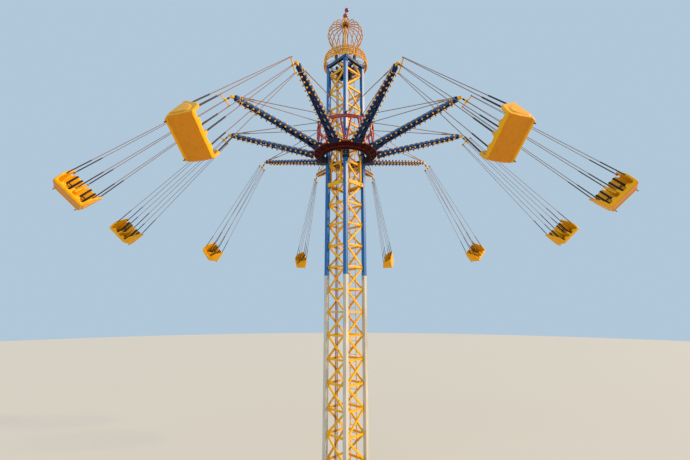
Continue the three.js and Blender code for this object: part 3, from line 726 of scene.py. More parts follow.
# %% Tree for lamps
def lamp_tree():
    tree, given, result = new_tree("lamps along a line", [
        ("Spacing", "Float", 0.22), ("Lamp Radius", "Float", 0.033), ("Stem", "Float", 0.0),
        ("Sides", "Int", 8), ("Cap", "Material", None), ("Holder", "Material", None)])
    points, turns = even_points(tree, given), outward_turns(tree)
    radius, stem, sides = given["Lamp Radius"], given["Stem"], given["Sides"]

    def sized(share, plus=0.0):
        """A share of the lamp's radius, with something added."""
        return maths(tree, "MULTIPLY_ADD", radius, share, plus)

    def lifted(shape, height, scale=(1, 1, 1)):
        """The shape moved out along the lamp's axis."""
        lift = node(tree, "ShaderNodeCombineXYZ", {"Z": height}).outputs[0]
        return node(tree, "GeometryNodeTransform", {
            "Geometry": shape.outputs[0], "Translation": lift, "Scale": scale}).outputs[0]

    cap = node(tree, "GeometryNodeMeshUVSphere",
               {"Segments": sides, "Rings": 5, "Radius": radius})
    cup = node(tree, "GeometryNodeMeshCylinder",
               {"Vertices": sides, "Depth": sized(0.7), "Radius": sized(0.85)})
    post = node(tree, "GeometryNodeMeshCylinder",
                {"Vertices": 5, "Depth": sized(0.3, stem), "Radius": sized(0.35)})
    lamp = node(tree, "GeometryNodeJoinGeometry")
    for shape, material in [(lifted(cap, sized(0.55, stem), (1, 1, 0.8)), given["Cap"]),
                            (lifted(cup, stem), given["Holder"]),
                            (lifted(post, maths(tree, "MULTIPLY", stem, 0.5)), given["Holder"])]:
        set_out = copies(tree, points, shape, turns)
        tree.links.new(made_real(tree, set_out, material), lamp.inputs[0])
    tree.links.new(lamp.outputs[0], result.inputs[0])
    return tree


LAMPS = lamp_tree()
print("tree:", LAMPS.name)

# %% [markdown]
# Bolts of one kind are all alike, so they only need points that say where each one sits and which
# way it faces. The head is a cylinder with six sides on a thin washer, and it stays flat shaded,
# as a forged hexagon is.

# %% Tree for bolts
def bolt_tree():
    tree, given, result = new_tree("bolts on points", [
        ("Head", "Float", 0.02), ("Material", "Material", None)])

    def sized(share):
        """A share of the head's radius."""
        return maths(tree, "MULTIPLY", given["Head"], share)

    hexagon = node(tree, "GeometryNodeMeshCylinder",
                   {"Vertices": 6, "Radius": given["Head"], "Depth": sized(0.8)}).outputs[0]
    half = node(tree, "ShaderNodeCombineXYZ", {"Z": sized(0.55)}).outputs[0]
    head = node(tree, "GeometryNodeTransform", {"Geometry": hexagon, "Translation": half})
    washer = node(tree, "GeometryNodeMeshCylinder",
                  {"Vertices": 12, "Radius": sized(1.5), "Depth": sized(0.3)})
    bolt = node(tree, "GeometryNodeJoinGeometry")
    for shape in (head, washer):
        tree.links.new(shape.outputs[0], bolt.inputs[0])
    set_out = copies(tree, given["Geometry"], bolt.outputs[0], outward_turns(tree))
    real = made_real(tree, set_out, given["Material"], smooth=False)
    tree.links.new(real, result.inputs[0])
    return tree


BOLTS = bolt_tree()
print("tree:", BOLTS.name)

# %% [markdown]
# A tree works on an object, so the lines first become a bare mesh of edges. Where lamps or bolts
# have to face a way, that way is stored on each point, and the tree reads it by name. The result
# is turned into a plain mesh at once, so that nothing on the ride depends on a live modifier.

# %% Run a tree on lines
def dress(tree, lines, outward=None, closed=False, **sizes):
    """Runs a tree on lists of points and returns what it made as a plain mesh."""
    verts, edges, ways = [], [], []
    for n, line in enumerate(lines):
        start = len(verts)
        verts += [tuple(p) for p in line]
        edges += [(start + i, start + i + 1) for i in range(len(line) - 1)]
        if closed:
            edges.append((len(verts) - 1, start))
        if outward:
            ways += [tuple(w) for w in outward[n]]
    base = bpy.data.meshes.new("lines")
    base.from_pydata(verts, edges, [])
    if outward:
        stored = base.attributes.new("outward", "FLOAT_VECTOR", "POINT")
        stored.data.foreach_set("vector", [c for w in ways for c in w])
    holder = bpy.data.objects.new("lines", base)
    modifier = holder.modifiers.new("dress", "NODES")
    modifier.node_group = tree
    sockets = {s.name: s.identifier for s in tree.interface.items_tree if s.in_out == "INPUT"}
    for label, value in sizes.items():
        modifier[sockets[label.replace("_", " ")]] = value
    made = plain_mesh(holder)
    bpy.data.meshes.remove(base)
    return made


def circle(radius, height, steps):
    """Points round the tower's axis, without the first one again."""
    return [polar(radius, 360 * s / steps, height) for s in range(steps)]


def bolted(spots, ways, head, material):
    """Bolts on the points, each facing its way."""
    return dress(BOLTS, [spots], [ways], Head=head, Material=material)


print("lines can be dressed")

# %% [markdown]
# The turning ring is a shallow steel dish. From below, where riders wait, one sees its hollow, dark
# with grease and painted shade, with a rib every few degrees, a thin rolled red rim and a red lip
# inside. A turned outline gives the ring all its curves at once, and the ribs are one small plate,
# copied round.

# %% Turning ring
RING_SIDES, RIB_COUNT = 144, 20
LIP_OUT, DISH_IN, DISH_OUT = 1.3, 1.35, 1.59
dish = [(RING_IN, RING_LOW), (LIP_OUT, RING_LOW), (LIP_OUT, 15.145), (DISH_IN, 15.15),
        (DISH_OUT, 15.262), (DISH_OUT, 15.24), (1.605, 15.232), (RING_OUT - 0.006, 15.238),
        (RING_OUT, 15.256), (RING_OUT, 15.295), (1.622, 15.312), (1.6, RING_TOP),
        (RING_IN, RING_TOP)]
hollow = [(LIP_OUT, 15.141), (DISH_IN, 15.146), (DISH_OUT, 15.258), (DISH_OUT, 15.2585),
          (DISH_IN, 15.1485), (LIP_OUT, 15.1435)]
rib_outline = [(LIP_OUT, RING_LOW + 0.012), (1.36, RING_LOW + 0.012), (DISH_OUT, 15.235),
               (DISH_OUT, 15.26), (DISH_IN, 15.148), (LIP_OUT, 15.142)]
ring = Piece(RED, GREASE_AND_SHADE)
ring.add(turned(dish, RING_SIDES))
# The hollow and the ribs take the dark finish of grease and painted shade
ring.add(turned(hollow, RING_SIDES), finish_index=1)
rib = plate(rib_outline, [], 0.012, 0.002)
rib.transform(QUARTER)
for k in range(RIB_COUNT):
    ring.add(rib, turn_z(360 / RIB_COUNT * (k + 0.5)), 1, smooth=False)
place_piece(ring.mesh("turning_ring"), "turning_ring", "rotor", ["lower_ring"])

spots = [polar(1.325, 360 / RIB_COUNT * k, 15.142) for k in range(RIB_COUNT)]
place_piece(bolted(spots, [(0, 0, -1)] * RIB_COUNT, 0.014, IRON_AND_SHADE),
            "ring_bolts", "rotor")

# %% [markdown]
# The upper ring is a deep steel band on splayed legs. The pull of the stays comes in at its top,
# so its lugs, legs and shoes all stand between the arms. The band is a turned outline, and the
# legs are bars on lines.

# %% Upper ring and its legs
BAND_HALF_W, BAND_HALF_H, GROOVE_W = 0.043, 0.075, 0.028
LEG_R, LEG_SPREAD = 0.048, 11
SHOE_TOP = RING_TOP + 0.045
GAPS = [arm_bearing(k) + ARM_STEP / 2 for k in range(ARM_COUNT)]
section = [(-BAND_HALF_W, -BAND_HALF_H), (BAND_HALF_W, -BAND_HALF_H), (BAND_HALF_W, -0.055),
           (GROOVE_W, -0.045), (GROOVE_W, 0.045), (BAND_HALF_W, 0.055),
           (BAND_HALF_W, BAND_HALF_H), (-BAND_HALF_W, BAND_HALF_H)]
band = turned([(UPPER_R + r, UPPER_Z + z) for r, z in section], 120)
shoe = block((1.42, -0.095, RING_TOP + 0.001), (1.55, 0.095, SHOE_TOP), 0.008)
web = block((1.44, -0.008, RING_TOP + 0.03), (1.53, 0.008, RING_TOP + 0.15), 0.003, 1)
saddle = block((UPPER_R - 0.05, -0.06, UPPER_Z - 0.082), (UPPER_R + 0.05, 0.06, UPPER_Z - 0.03),
               0.01)
legs, shoes = [], Piece(STRUT_RED).add(band)
for bearing in GAPS:
    shoes.add(shoe, turn_z(bearing)).add(web, turn_z(bearing))
    for side in (-1, 1):
        head = bearing + side * LEG_SPREAD
        legs.append([polar(1.485, bearing + side * 1.6, RING_TOP + 0.02),
                     polar(UPPER_R, head, UPPER_Z - 0.03)])
        shoes.add(saddle, turn_z(head))
leg_bars = dress(BARS, legs, Radius=LEG_R, Sides=14, Material=STRUT_RED)
place_piece(merged([leg_bars, shoes.mesh("shoes")], "upper_ring_band", [STRUT_RED]),
            "upper_ring_band", "rotor", ["upper_ring"])
spots = [polar(r, bearing + t, SHOE_TOP) for bearing in GAPS for r in (1.44, 1.53) for t in (-3, 3)]
place_piece(bolted(spots, [(0, 0, 1)] * len(spots), 0.013, ZINC),
            "shoe_bolts", "rotor")

# %% [markdown]
# An arm is a tapering box welded from sheet. It is drawn once, lying along X, and then copied to
# its ten bearings. Its heel laps over the turning ring, and from there its floor rises more
# steeply than its top. So three short functions give its width, floor and top at any distance
# from the axis, and every part of the arm asks them.

# %% Sizes of an arm
ARM_IN, ARM_END = 1.345, 5.8
ROOT_W, TIP_W = 0.47, 0.15
HEEL_R, HEEL_LOW, HEEL_TOP = 1.64, RING_TOP + 0.0003, 15.38
ROOT_LOW, ROOT_TOP, TIP_LOW, TIP_TOP = 15.172, 15.342, 16.18, 16.38
TIP_H = TIP_TOP - TIP_LOW
SHEET = 0.01
TOP_SLOPE = math.atan2(TIP_TOP - ROOT_TOP, ARM_END - RING_OUT)
FLOOR_SLOPE = math.atan2(TIP_LOW - ROOT_LOW, ARM_END - RING_OUT)
RISE_R = RING_OUT + (HEEL_TOP - ROOT_TOP) / math.tan(TOP_SLOPE)


def along(r):
    """How far out along the arm, from the ring's edge at 0 to the arm's end at 1."""
    return (r - RING_OUT) / (ARM_END - RING_OUT)


def arm_width(r):
    return ROOT_W + (TIP_W - ROOT_W) * (r - ARM_IN) / (ARM_END - ARM_IN)


def arm_low(r):
    return ROOT_LOW + (TIP_LOW - ROOT_LOW) * along(r)


def arm_high(r):
    return max(HEEL_TOP, ROOT_TOP + (TIP_TOP - ROOT_TOP) * along(r))


def tapered(start, end, wide, narrow):
    """The outline of a plate that runs along X and changes its width evenly."""
    return [(start, -wide / 2), (end, -narrow / 2), (end, narrow / 2), (start, wide / 2)]


print("arm slope:", round(math.degrees(TOP_SLOPE), 1), "degrees")

# %% [markdown]
# Windows cut through the sides and floor of an arm save weight and let the lamps inside show. On
# the sides they are triangles that point up and down by turns, so the sheet left between them
# forms a truss. Under the arm they are lozenges that shrink with its width.

# %% Windows of an arm
FIRST_WINDOW, LAST_WINDOW, WINDOW_W = 1.82, 5.3, 0.24
EDGE_LOW, EDGE_HIGH = 0.022, 0.08
FLOOR_WINDOWS = [(0.25, 0.21), (0.8, 0.19), (1.3, 0.17), (1.76, 0.15), (2.18, 0.13), (2.56, 0.11),
                 (2.9, 0.09)]


def side_windows():
    """Rounded triangles that point up and down by turns."""
    out, r = [], FIRST_WINDOW
    while r < LAST_WINDOW:
        a, b, mid = r, r + WINDOW_W, r + WINDOW_W / 2
        if len(out) % 2 == 0:
            loop = [(a, arm_low(a) + EDGE_LOW), (b, arm_low(b) + EDGE_LOW),
                    (mid, arm_high(mid) - EDGE_HIGH)]
        else:
            loop = [(a, arm_high(a) - EDGE_HIGH), (mid, arm_low(mid) + EDGE_LOW),
                    (b, arm_high(b) - EDGE_HIGH)]
        out.append(rounded(loop, 0.015))
        r += WINDOW_W * 0.8
    return out


def floor_windows():
    """Rounded lozenges, each given by where it starts along the floor and half its length."""
    out = []
    for u, size in FLOOR_WINDOWS:
        half = arm_width(HEEL_R + u * math.cos(FLOOR_SLOPE)) / 2 - 0.06
        out.append(rounded([(u, -half * 0.25), (u + size, -half), (u + 2 * size, half * 0.25),
                            (u + size, half)], 0.025))
    return out


print("windows:", len(side_windows()), "in a side,", len(floor_windows()), "in the floor")

# %% [markdown]
# The box is put together as the shop does it: flat plates with windows, each turned to its slope.
# Two walls lean in towards the end, the floor and the lid climb, and the heel is closed where it
# lies on the ring. A box that was bevelled and cut in one go would have no open inside.

# %% Walls, floor, lid and heel of an arm
# Every part given the second finish, the darker blue, is painted shade: walls, floor, heel,
# gussets, frames and nose
arm = Piece(BLUE, SHADED_BLUE, YELLOW, STEEL, CREAM)
side = [(ARM_IN, HEEL_LOW), (HEEL_R, HEEL_LOW), (HEEL_R, arm_low(HEEL_R)), (ARM_END, TIP_LOW),
        (ARM_END, TIP_TOP), (RISE_R, HEEL_TOP), (ARM_IN, HEEL_TOP)]
wall = plate(side, side_windows(), SHEET)
lean = math.atan2((ROOT_W - TIP_W) / 2, ARM_END - ARM_IN)
for hand in (-1, 1):
    stand = (at(ARM_IN, hand * (ROOT_W / 2 - SHEET / 2), 0) @ Matrix.Rotation(-hand * lean, 4, "Z")
             @ at(-ARM_IN, 0, 0) @ QUARTER)
    arm.add(wall, stand, 1, smooth=False)

floor_len = math.hypot(TIP_LOW - arm_low(HEEL_R), ARM_END - HEEL_R)
under = at(HEEL_R, 0, arm_low(HEEL_R) + SHEET / 2) @ Matrix.Rotation(-FLOOR_SLOPE, 4, "Y")
arm.add(plate(tapered(0, floor_len, arm_width(HEEL_R), TIP_W), floor_windows(), SHEET), under, 1,
        smooth=False)
lid_len = math.hypot(TIP_TOP - HEEL_TOP, ARM_END - RISE_R)
over = at(RISE_R, 0, HEEL_TOP - SHEET / 2) @ Matrix.Rotation(-TOP_SLOPE, 4, "Y")
arm.add(plate(tapered(0, lid_len, arm_width(RISE_R), TIP_W), [], SHEET), over, smooth=False)

heel_half = arm_width(HEEL_R) / 2 - 0.004
arm.add(plate(tapered(ARM_IN, RISE_R, ROOT_W, arm_width(RISE_R)), [], SHEET),
        at(0, 0, HEEL_TOP - SHEET / 2), smooth=False)
arm.add(block((ARM_IN, -ROOT_W / 2, HEEL_LOW), (ARM_IN + SHEET, ROOT_W / 2, HEEL_TOP), 0.003))
arm.add(block((HEEL_R, -heel_half, arm_low(HEEL_R)),
              (HEEL_R + SHEET, heel_half, HEEL_TOP - SHEET), 0.003))
arm.add(block((ARM_IN, -heel_half, HEEL_LOW), (HEEL_R, heel_half, HEEL_LOW + SHEET), 0.003),
        None, 1)
print("arm box:", round(floor_len, 2), "m of floor,", round(lid_len, 2), "m of lid")

# %% [markdown]
# Blue flats stiffen the upper edges of the walls, two long gussets the corners of the floor near
# the ring, and square frames stand across the inside. Gussets and frames have the darker blue of
# painted shade. A pale tray in the middle carries the cables, and its pale cream also stands in for
# the light seen inside the arm through its windows, which is painted light. Flats and tray follow
# the arm's edges, so each is a strap between two points.

# %% Flats, gussets, tray and frames of an arm
FRAMES_AT, FRAME_RIM = (2.3, 2.95, 3.6, 4.25, 4.9), 0.03
for hand in (-1, 1):
    long_flat = [(r, arm_high(r) - 0.06) for r in (RISE_R + 0.02, ARM_END - 0.02)]
    heel_flat = [(r, HEEL_TOP - 0.03) for r in (ARM_IN + 0.01, RISE_R + 0.02)]
    for line, wide in ((long_flat, 0.116), (heel_flat, 0.055)):
        ends = [(r, hand * (arm_width(r) / 2 - 0.004), z) for r, z in line]
        arm.add(strap(ends, (0, 0, 1), wide, 0.012), smooth=False)
for hand in (-1, 1):
    gusset = [(0.004, hand * 0.2), (0.004, hand * 0.33), (0.06, hand * 0.33), (0.6, hand * 0.2)]
    arm.add(plate(gusset if hand < 0 else gusset[::-1], [], SHEET), under, 1, smooth=False)
tray = [(r, 0, arm_low(r) + 0.1) for r in (HEEL_R + 0.05, ARM_END - 0.3)]
# The tray's pale cream is partly painted light, standing in for the lit inside of the arm
arm.add(strap(tray, (0, 1, 0), 0.07, 0.02), None, 4, smooth=False)
for r in FRAMES_AT:
    half, low, high = arm_width(r) / 2 - SHEET, arm_low(r) + 0.012, arm_high(r) - 0.012
    opening = rounded(oblong(-half + FRAME_RIM, low + FRAME_RIM, half - FRAME_RIM,
                             high - FRAME_RIM), 0.02)
    arm.add(plate(oblong(-half, low, half, high), [opening], 0.008, 0.002),
            at(r, 0, 0) @ turn_z(90) @ QUARTER, 1, smooth=False)
print("frames across an arm:", len(FRAMES_AT))

# %% [markdown]
# The arm ends in a rounded nose with a welded yellow band behind it. Two yellow cheeks reach out
# from the nose and hold the pin that the chair swings on. The nose is a thick plate with a wide
# bevel, which gives its swell, and the pin is turned with small chamfers, as such a pin really
# is.

# %% Nose, band, cheeks and pin
nose = rounded(oblong(ARM_END - 0.02, -TIP_W / 2, ARM_END + 0.06, TIP_W / 2), 0.05)
# The nose has the darker blue of painted shade
arm.add(plate(nose, [], TIP_H, 0.015), at(0, 0, TIP_LOW + TIP_H / 2), 1)
arm.add(block((5.63, -0.092, 16.135), (5.66, 0.092, 16.395), 0.006), None, 2)
cheek = plate(rounded(oblong(ARM_END + 0.04, PIN_Z - 0.055, PIN_R + 0.05, PIN_Z + 0.055), 0.05), [],
              0.02, 0.004)
for y in (-0.038, 0.038):
    arm.add(cheek, at(0, y, 0) @ QUARTER, 2)
pin = [(0, -0.06), (0.02, -0.06), (0.022, -0.057), (0.022, 0.057), (0.02, 0.06), (0, 0.06)]
arm.add(turned(pin, 20), at(PIN_R, 0, PIN_Z) @ QUARTER, 3)
arm_mesh = arm.mesh("arm_box")
for k, label in enumerate(CHAIRS):
    turned_arm = arm_mesh.copy()
    turned_arm.transform(turn_z(arm_bearing(k)))
    place_piece(turned_arm, f"arm_box_{label}", "rotor", [f"arm_{label}"])

# %% [markdown]
# Each arm wears four rows of cabochon lamps, one along each edge, and a short row under its end.
# The lamps stand off on stems, the lower ones pointing down and out, so each row stores its
# outward way and the lamp tree spaces the lamps evenly. The rim of the ring carries smaller lamps
# between the arms.

# %% Lamps on the arms and the ring
LAMP_FINISHES = {"Cap": LAMP, "Holder": BRASS}
upper_rows, upper_ways, lower_rows, lower_ways, rim_rows, rim_ways = [], [], [], [], [], []
for k in range(ARM_COUNT):
    spin = turn_z(arm_bearing(k))
    for hand in (-1, 1):
        upper_rows.append([spin @ Vector((r, hand * arm_width(r) / 2, arm_high(r) - 0.035))
                           for r in (1.88, 5.58)])
        upper_ways.append([spin @ Vector((0, hand, 0))] * 2)
        lower_rows.append([spin @ Vector((r, hand * (arm_width(r) / 2 - 0.006), arm_low(r) + 0.012))
                           for r in (1.75, 5.58)])
        lower_ways.append([spin @ Vector((0, hand, -0.8)).normalized()] * 2)
    lower_rows.append([spin @ Vector((r, 0, arm_low(r) + 0.004)) for r in (4.75, 5.5)])
    lower_ways.append([spin @ Vector((0.2, 0, -1)).normalized()] * 2)
for bearing in GAPS:
    rim_rows.append([polar(RING_OUT - 0.003, bearing + t, 15.285) for t in range(-5, 6)])
    rim_ways.append([polar(1, bearing + t, 0) for t in range(-5, 6)])
lamp_sets = [
    dress(LAMPS, upper_rows, upper_ways, Spacing=0.26, Lamp_Radius=0.044, Stem=0.015,
          **LAMP_FINISHES),
    dress(LAMPS, lower_rows, lower_ways, Spacing=0.25, Lamp_Radius=0.042, Stem=0.055,
          **LAMP_FINISHES),
    dress(LAMPS, rim_rows, rim_ways, Spacing=0.095, Lamp_Radius=0.022, Sides=6, **LAMP_FINISHES)]
place_piece(merged(lamp_sets, "arm_lamps", [LAMP, BRASS]), "arm_lamps", "rotor")

# %% [markdown]
# Two stay rods hold up each arm. A rod ends in a fork and a pin at both plates, and a turnbuckle
# near the arm sets its pull. Rod, fork and turnbuckle are all bars on the same line, of different
# thickness.

# %% Stays
STAY_TIP_R, LUG_R, STAY_SPREAD = 5.7, UPPER_R + 0.01, 16.6
LUG_Z, LUG_H = UPPER_Z + BAND_HALF_H + 0.0003, 0.15
tip_plate = block((-0.09, -0.042, 0.0005), (0.09, 0.042, 0.05), 0.01)
lug = plate(rounded(oblong(-0.045, 0, 0.045, LUG_H), 0.03), [], 0.12, 0.006)
tip = at(STAY_TIP_R, 0, arm_high(STAY_TIP_R)) @ Matrix.Rotation(-TOP_SLOPE, 4, "Y")
rods, barrels, forks, pins, lugs = [], [], [], [], Piece(IRON_AND_SHADE)
for k in range(ARM_COUNT):
    bearing = arm_bearing(k)
    lugs.add(tip_plate, turn_z(bearing) @ tip)
    lugs.add(lug, turn_z(bearing + ARM_STEP / 2) @ at(LUG_R, 0, LUG_Z) @ QUARTER)
    for side in (-1, 1):
        p = polar(STAY_TIP_R, bearing + side * 0.2, arm_high(STAY_TIP_R) + 0.027)
        q = polar(LUG_R + 0.01, bearing + side * STAY_SPREAD, LUG_Z + LUG_H - 0.05)
        way = (q - p).normalized()
        rods.append([p, q])
        forks += [[p, p + way * 0.16], [q - way * 0.16, q]]
        barrels.append([p + way * 0.42, p + way * 0.72])
        pins.append([q + Vector((0, 0, -0.045)), q + Vector((0, 0, 0.045))])
stay_parts = [dress(BARS, lines, Radius=radius, Sides=sides, Material=STEEL)
              for lines, radius, sides in ((rods, 0.017, 12), (forks, 0.024, 6),
                                           (barrels, 0.026, 6), (pins, 0.012, 10))]
place_piece(merged([*stay_parts, lugs.mesh("lugs")], "stay_rods", [STEEL, IRON_AND_SHADE]),
            "stay_rods", "rotor", STAY_NODES)

# %% [markdown]
# The crown is what one sees from across the fairground. Its skirt is a dome that lies on one
# curve from rim to neck, so every rib, hoop, ring and lamp is placed by its distance along that
# curve. That way all of them stay on the dome, however its curve is changed.

# %% The curve of the crown
SKIRT_LINE = [(1.15, 20.33), (1.146, 20.5), (1.134, 20.64), (1.108, 20.76), (1.062, 20.855),
              (0.985, 20.92), (0.84, 20.96), (0.56, 20.975)]
(RIM_R, RIM_Z), (NECK_R, NECK_Z) = SKIRT_LINE[0], SKIRT_LINE[-1]
dome = curve_through([(r, 0, z) for r, z in SKIRT_LINE], 8)
dome_runs = [0.0]
for low_point, high_point in zip(dome, dome[1:]):
    dome_runs.append(dome_runs[-1] + (high_point - low_point).length)


def skirt_point(t, bearing, proud=0.0):
    """A point on the dome, from the rim at 0 to the neck at 1, stood off by proud."""
    run = t * dome_runs[-1]
    i = next((n for n in range(1, len(dome)) if dome_runs[n] >= run), len(dome) - 1)
    way = (dome[i] - dome[i - 1]).normalized()
    here = dome[i - 1] + way * (run - dome_runs[i - 1])
    return polar(here.x + way.z * proud, bearing, here.z - way.x * proud)


def skirt_way(t, bearing):
    """The way the dome faces at that point."""
    return (skirt_point(t, bearing, 1.0) - skirt_point(t, bearing)).normalized()


print("from rim to neck:", round(dome_runs[-1], 2), "m")

# %% [markdown]
# The lower half of the skirt is a band of thin ribs and hoops with a scroll ring in every field.
# Above the band every other rib bends in to the neck. Stout hoops close it at rim and neck, hooks
# hang it on the tower's top frame, and a cross inside the neck carries the pole.

# %% Crown skirt
SKIRT_RIBS, BAND_END, CROWN_SIDES = 32, 0.5, 96
HOOPS_AT, SCROLLS_AT = (0.13, 0.25, 0.37, BAND_END), (0.065, 0.19, 0.31, 0.435)
step = 360 / SKIRT_RIBS
ribs = [[skirt_point(i / 12 * (BAND_END if k % 2 else 1), step * k) for i in range(13)]
        for k in range(SKIRT_RIBS)]
hoops = [[skirt_point(t, 360 * s / CROWN_SIDES) for s in range(CROWN_SIDES)] for t in HOOPS_AT]
scrolls = [(t, step * (k + 0.5)) for t in SCROLLS_AT for k in range(SKIRT_RIBS)]
skirt_parts = [dress(BARS, ribs, Radius=0.0145, Sides=6, Material=GOLD),
               dress(BARS, hoops, closed=True, Radius=0.0145, Sides=6, Material=GOLD)]
STOUT_HOOPS = [(RIM_R, RIM_Z, 0.03, 10), (RIM_R - 0.01, RIM_Z + 0.055, 0.016, 8),
               (NECK_R, NECK_Z, 0.034, 10)]
for radius, height, thick, sides in STOUT_HOOPS:
    skirt_parts.append(dress(BARS, [circle(radius, height, CROWN_SIDES)], closed=True,
                             Radius=thick, Sides=sides, Material=GOLD))
skirt_parts.append(dress(RINGS, [[skirt_point(t, b)] * 2 for t, b in scrolls],
                         [[skirt_way(t, b)] * 2 for t, b in scrolls], Spacing=1.0,
                         Ring_Radius=0.058, Wire=0.012, Sides=12, Material=GOLD))
hook_flat = block((0.96, -0.045, TOP_FRAME_Z + 0.001), (RIM_R + 0.01, 0.045, TOP_FRAME_Z + 0.05),
                  0.006)
hook_drop = block((RIM_R - 0.05, -0.045, RIM_Z - 0.02), (RIM_R + 0.01, 0.045, TOP_FRAME_Z + 0.02),
                  0.006)
cross = Piece(GOLD)
for bearing in (45, 135, 225, 315):
    cross.add(hook_flat, turn_z(bearing)).add(hook_drop, turn_z(bearing))
beam = block((-NECK_R, -0.022, NECK_Z - 0.03), (NECK_R, 0.022, NECK_Z + 0.02), 0.005)
cross.add(beam).add(beam, turn_z(90))
socket = [(0, -0.04), (0.09, -0.04), (0.09, 0.036), (0, 0.036)]
cross.add(turned([(r, NECK_Z + z) for r, z in socket], 24))
skirt_parts.append(cross.mesh("cross"))
place_piece(merged(skirt_parts, "skirt_lattice", [GOLD]),
            "skirt_lattice", "tower", ["crown_skirt"])

# %% [markdown]
# The open globe above the skirt is a cage of thin ribs. They swell out from the collar, bend in
# at the top and meet in a bronze hub on the pole. One smooth line is turned round the axis for
# all of them.

# %% Crown globe
GLOBE_RIBS = 18
COLLAR_Z = NECK_Z + 0.0363
HUB_Z, HUB_R, POLE_R = 22.94, 0.165, 0.05
BALL_Z, BALL_R, TIP_Z = 23.6, 0.135, 23.99
cage_line = [(0.54, COLLAR_Z + 0.022), (0.57, 21.25), (0.68, 21.56), (0.8, 21.82), (0.905, 22.04),
             (0.955, 22.25), (0.93, 22.46), (0.83, 22.68), (0.68, 22.83), (0.44, 22.92),
             (HUB_R - 0.02, HUB_Z)]
smooth_rib = curve_through([(r, 0, z) for r, z in cage_line], 4)
cage = [[turn_z(360 / GLOBE_RIBS * (k + 0.25)) @ p for p in smooth_rib] for k in range(GLOBE_RIBS)]
globe_parts = [
    dress(BARS, cage, Radius=0.025, Sides=6, Material=ORANGE_GOLD),
    dress(BARS, [circle(NECK_R - 0.01, COLLAR_Z + 0.022, CROWN_SIDES)], closed=True, Radius=0.024,
          Sides=10, Material=ORANGE_GOLD),
    dress(BARS, [[(0, 0, COLLAR_Z), (0, 0, BALL_Z - BALL_R + 0.01)]], Radius=POLE_R, Sides=20,
          Material=GOLD)]
hub_line = [(0, -0.03), (0.12, -0.03), (0.16, -0.01), (HUB_R, 0.04), (0.155, 0.075), (HUB_R, 0.11),
            (0.16, 0.16), (0.11, 0.19), (0, 0.2)]
collar_line = [(0, 0), (0.085, 0), (0.085, 0.03), (0, 0.03)]
hub = Piece(BRASS, ORANGE_GOLD)
hub.add(turned([(r, HUB_Z + z) for r, z in hub_line], 28))
hub.add(turned([(r, COLLAR_Z + z) for r, z in collar_line], 24), None, 1)
globe_parts.append(hub.mesh("hub"))
place_piece(merged(globe_parts, "globe_cage", [ORANGE_GOLD, BRASS, GOLD]),
            "globe_cage", "tower", ["crown_globe"])

# %% [markdown]
# On the pole sits a copper ball, and a thin neck above it carries a red lamp cover that has come
# to lean a little. Both are turned outlines. Most of the ball's outline is an arc, so its points
# come from an angle.

# %% Ball and tip lamp
BALL_TURN = [math.radians(d) for d in range(-62, 78, 10)]
ball = [(0, BALL_Z - BALL_R + 0.002), (POLE_R + 0.006, BALL_Z - BALL_R + 0.002)]
ball += [(BALL_R * math.cos(a), BALL_Z + BALL_R * math.sin(a)) for a in BALL_TURN]
ball += [(0.024, BALL_Z + BALL_R), (0.024, TIP_Z - 0.11), (0, TIP_Z - 0.11)]
cover = [(0, -0.108), (0.03, -0.106), (0.075, -0.075), (0.097, -0.02), (0.094, 0.03),
         (0.07, 0.078), (0.035, 0.103), (0, 0.109)]
wide_cover = turned([(r * 1.25, TIP_Z + z - 0.006) for r, z in cover], 24)
lean_over = (at(0.055, 0.055, TIP_Z) @ Matrix.Rotation(math.radians(25), 4, (-1, 1, 0))
             @ at(0, 0, -TIP_Z))
finial = Piece(COPPER, MAGENTA).add(turned(ball, 32)).add(wide_cover, lean_over, 1)
place_piece(finial.mesh("ball_and_lamp"), "ball_and_lamp", "tower", ["finial"])

# %% [markdown]
# Lamps sparkle all over the crown: round the rim, where ribs cross hoops, round the collar and up
# the cage. The rows follow the same curves as the bars they sit on, so each lamp stands on a bar.

# %% Lamps on the crown
rows, ways = [], []
for t in (0.0, *HOOPS_AT):
    rows.append([skirt_point(t, step * k * 0.5, 0.012) for k in range(2 * SKIRT_RIBS + 1)])
    ways.append([skirt_way(t, step * k * 0.5) for k in range(2 * SKIRT_RIBS + 1)])
rows.append([polar(NECK_R + 0.012, 6 * s, COLLAR_Z + 0.024) for s in range(61)])
ways.append([polar(1, 6 * s, 0) for s in range(61)])
on_skirt = dress(LAMPS, rows, ways, Spacing=0.16, Lamp_Radius=0.03, **LAMP_FINISHES)
cage_ways = [[Vector((p.x, p.y, (p.z - 22.1) * 0.8)).normalized() for p in line] for line in cage]
on_cage = dress(LAMPS, [line[2:-6] for line in cage], [line[2:-6] for line in cage_ways],
                Spacing=0.125, Lamp_Radius=0.022, Sides=6, **LAMP_FINISHES)
place_piece(merged([on_skirt, on_cage], "crown_lamps", [LAMP, BRASS]),
            "crown_lamps", "tower")

# %% [markdown]
# Each chair hangs from one pin. An eye turns on the pin, a neck with a swivel drops from it, and
# a spreader tube with its ends turned down shares the load between three pairs of ropes. All ten
# chairs are alike, so the parts are made once in the chair's own frame and copied to each chair.

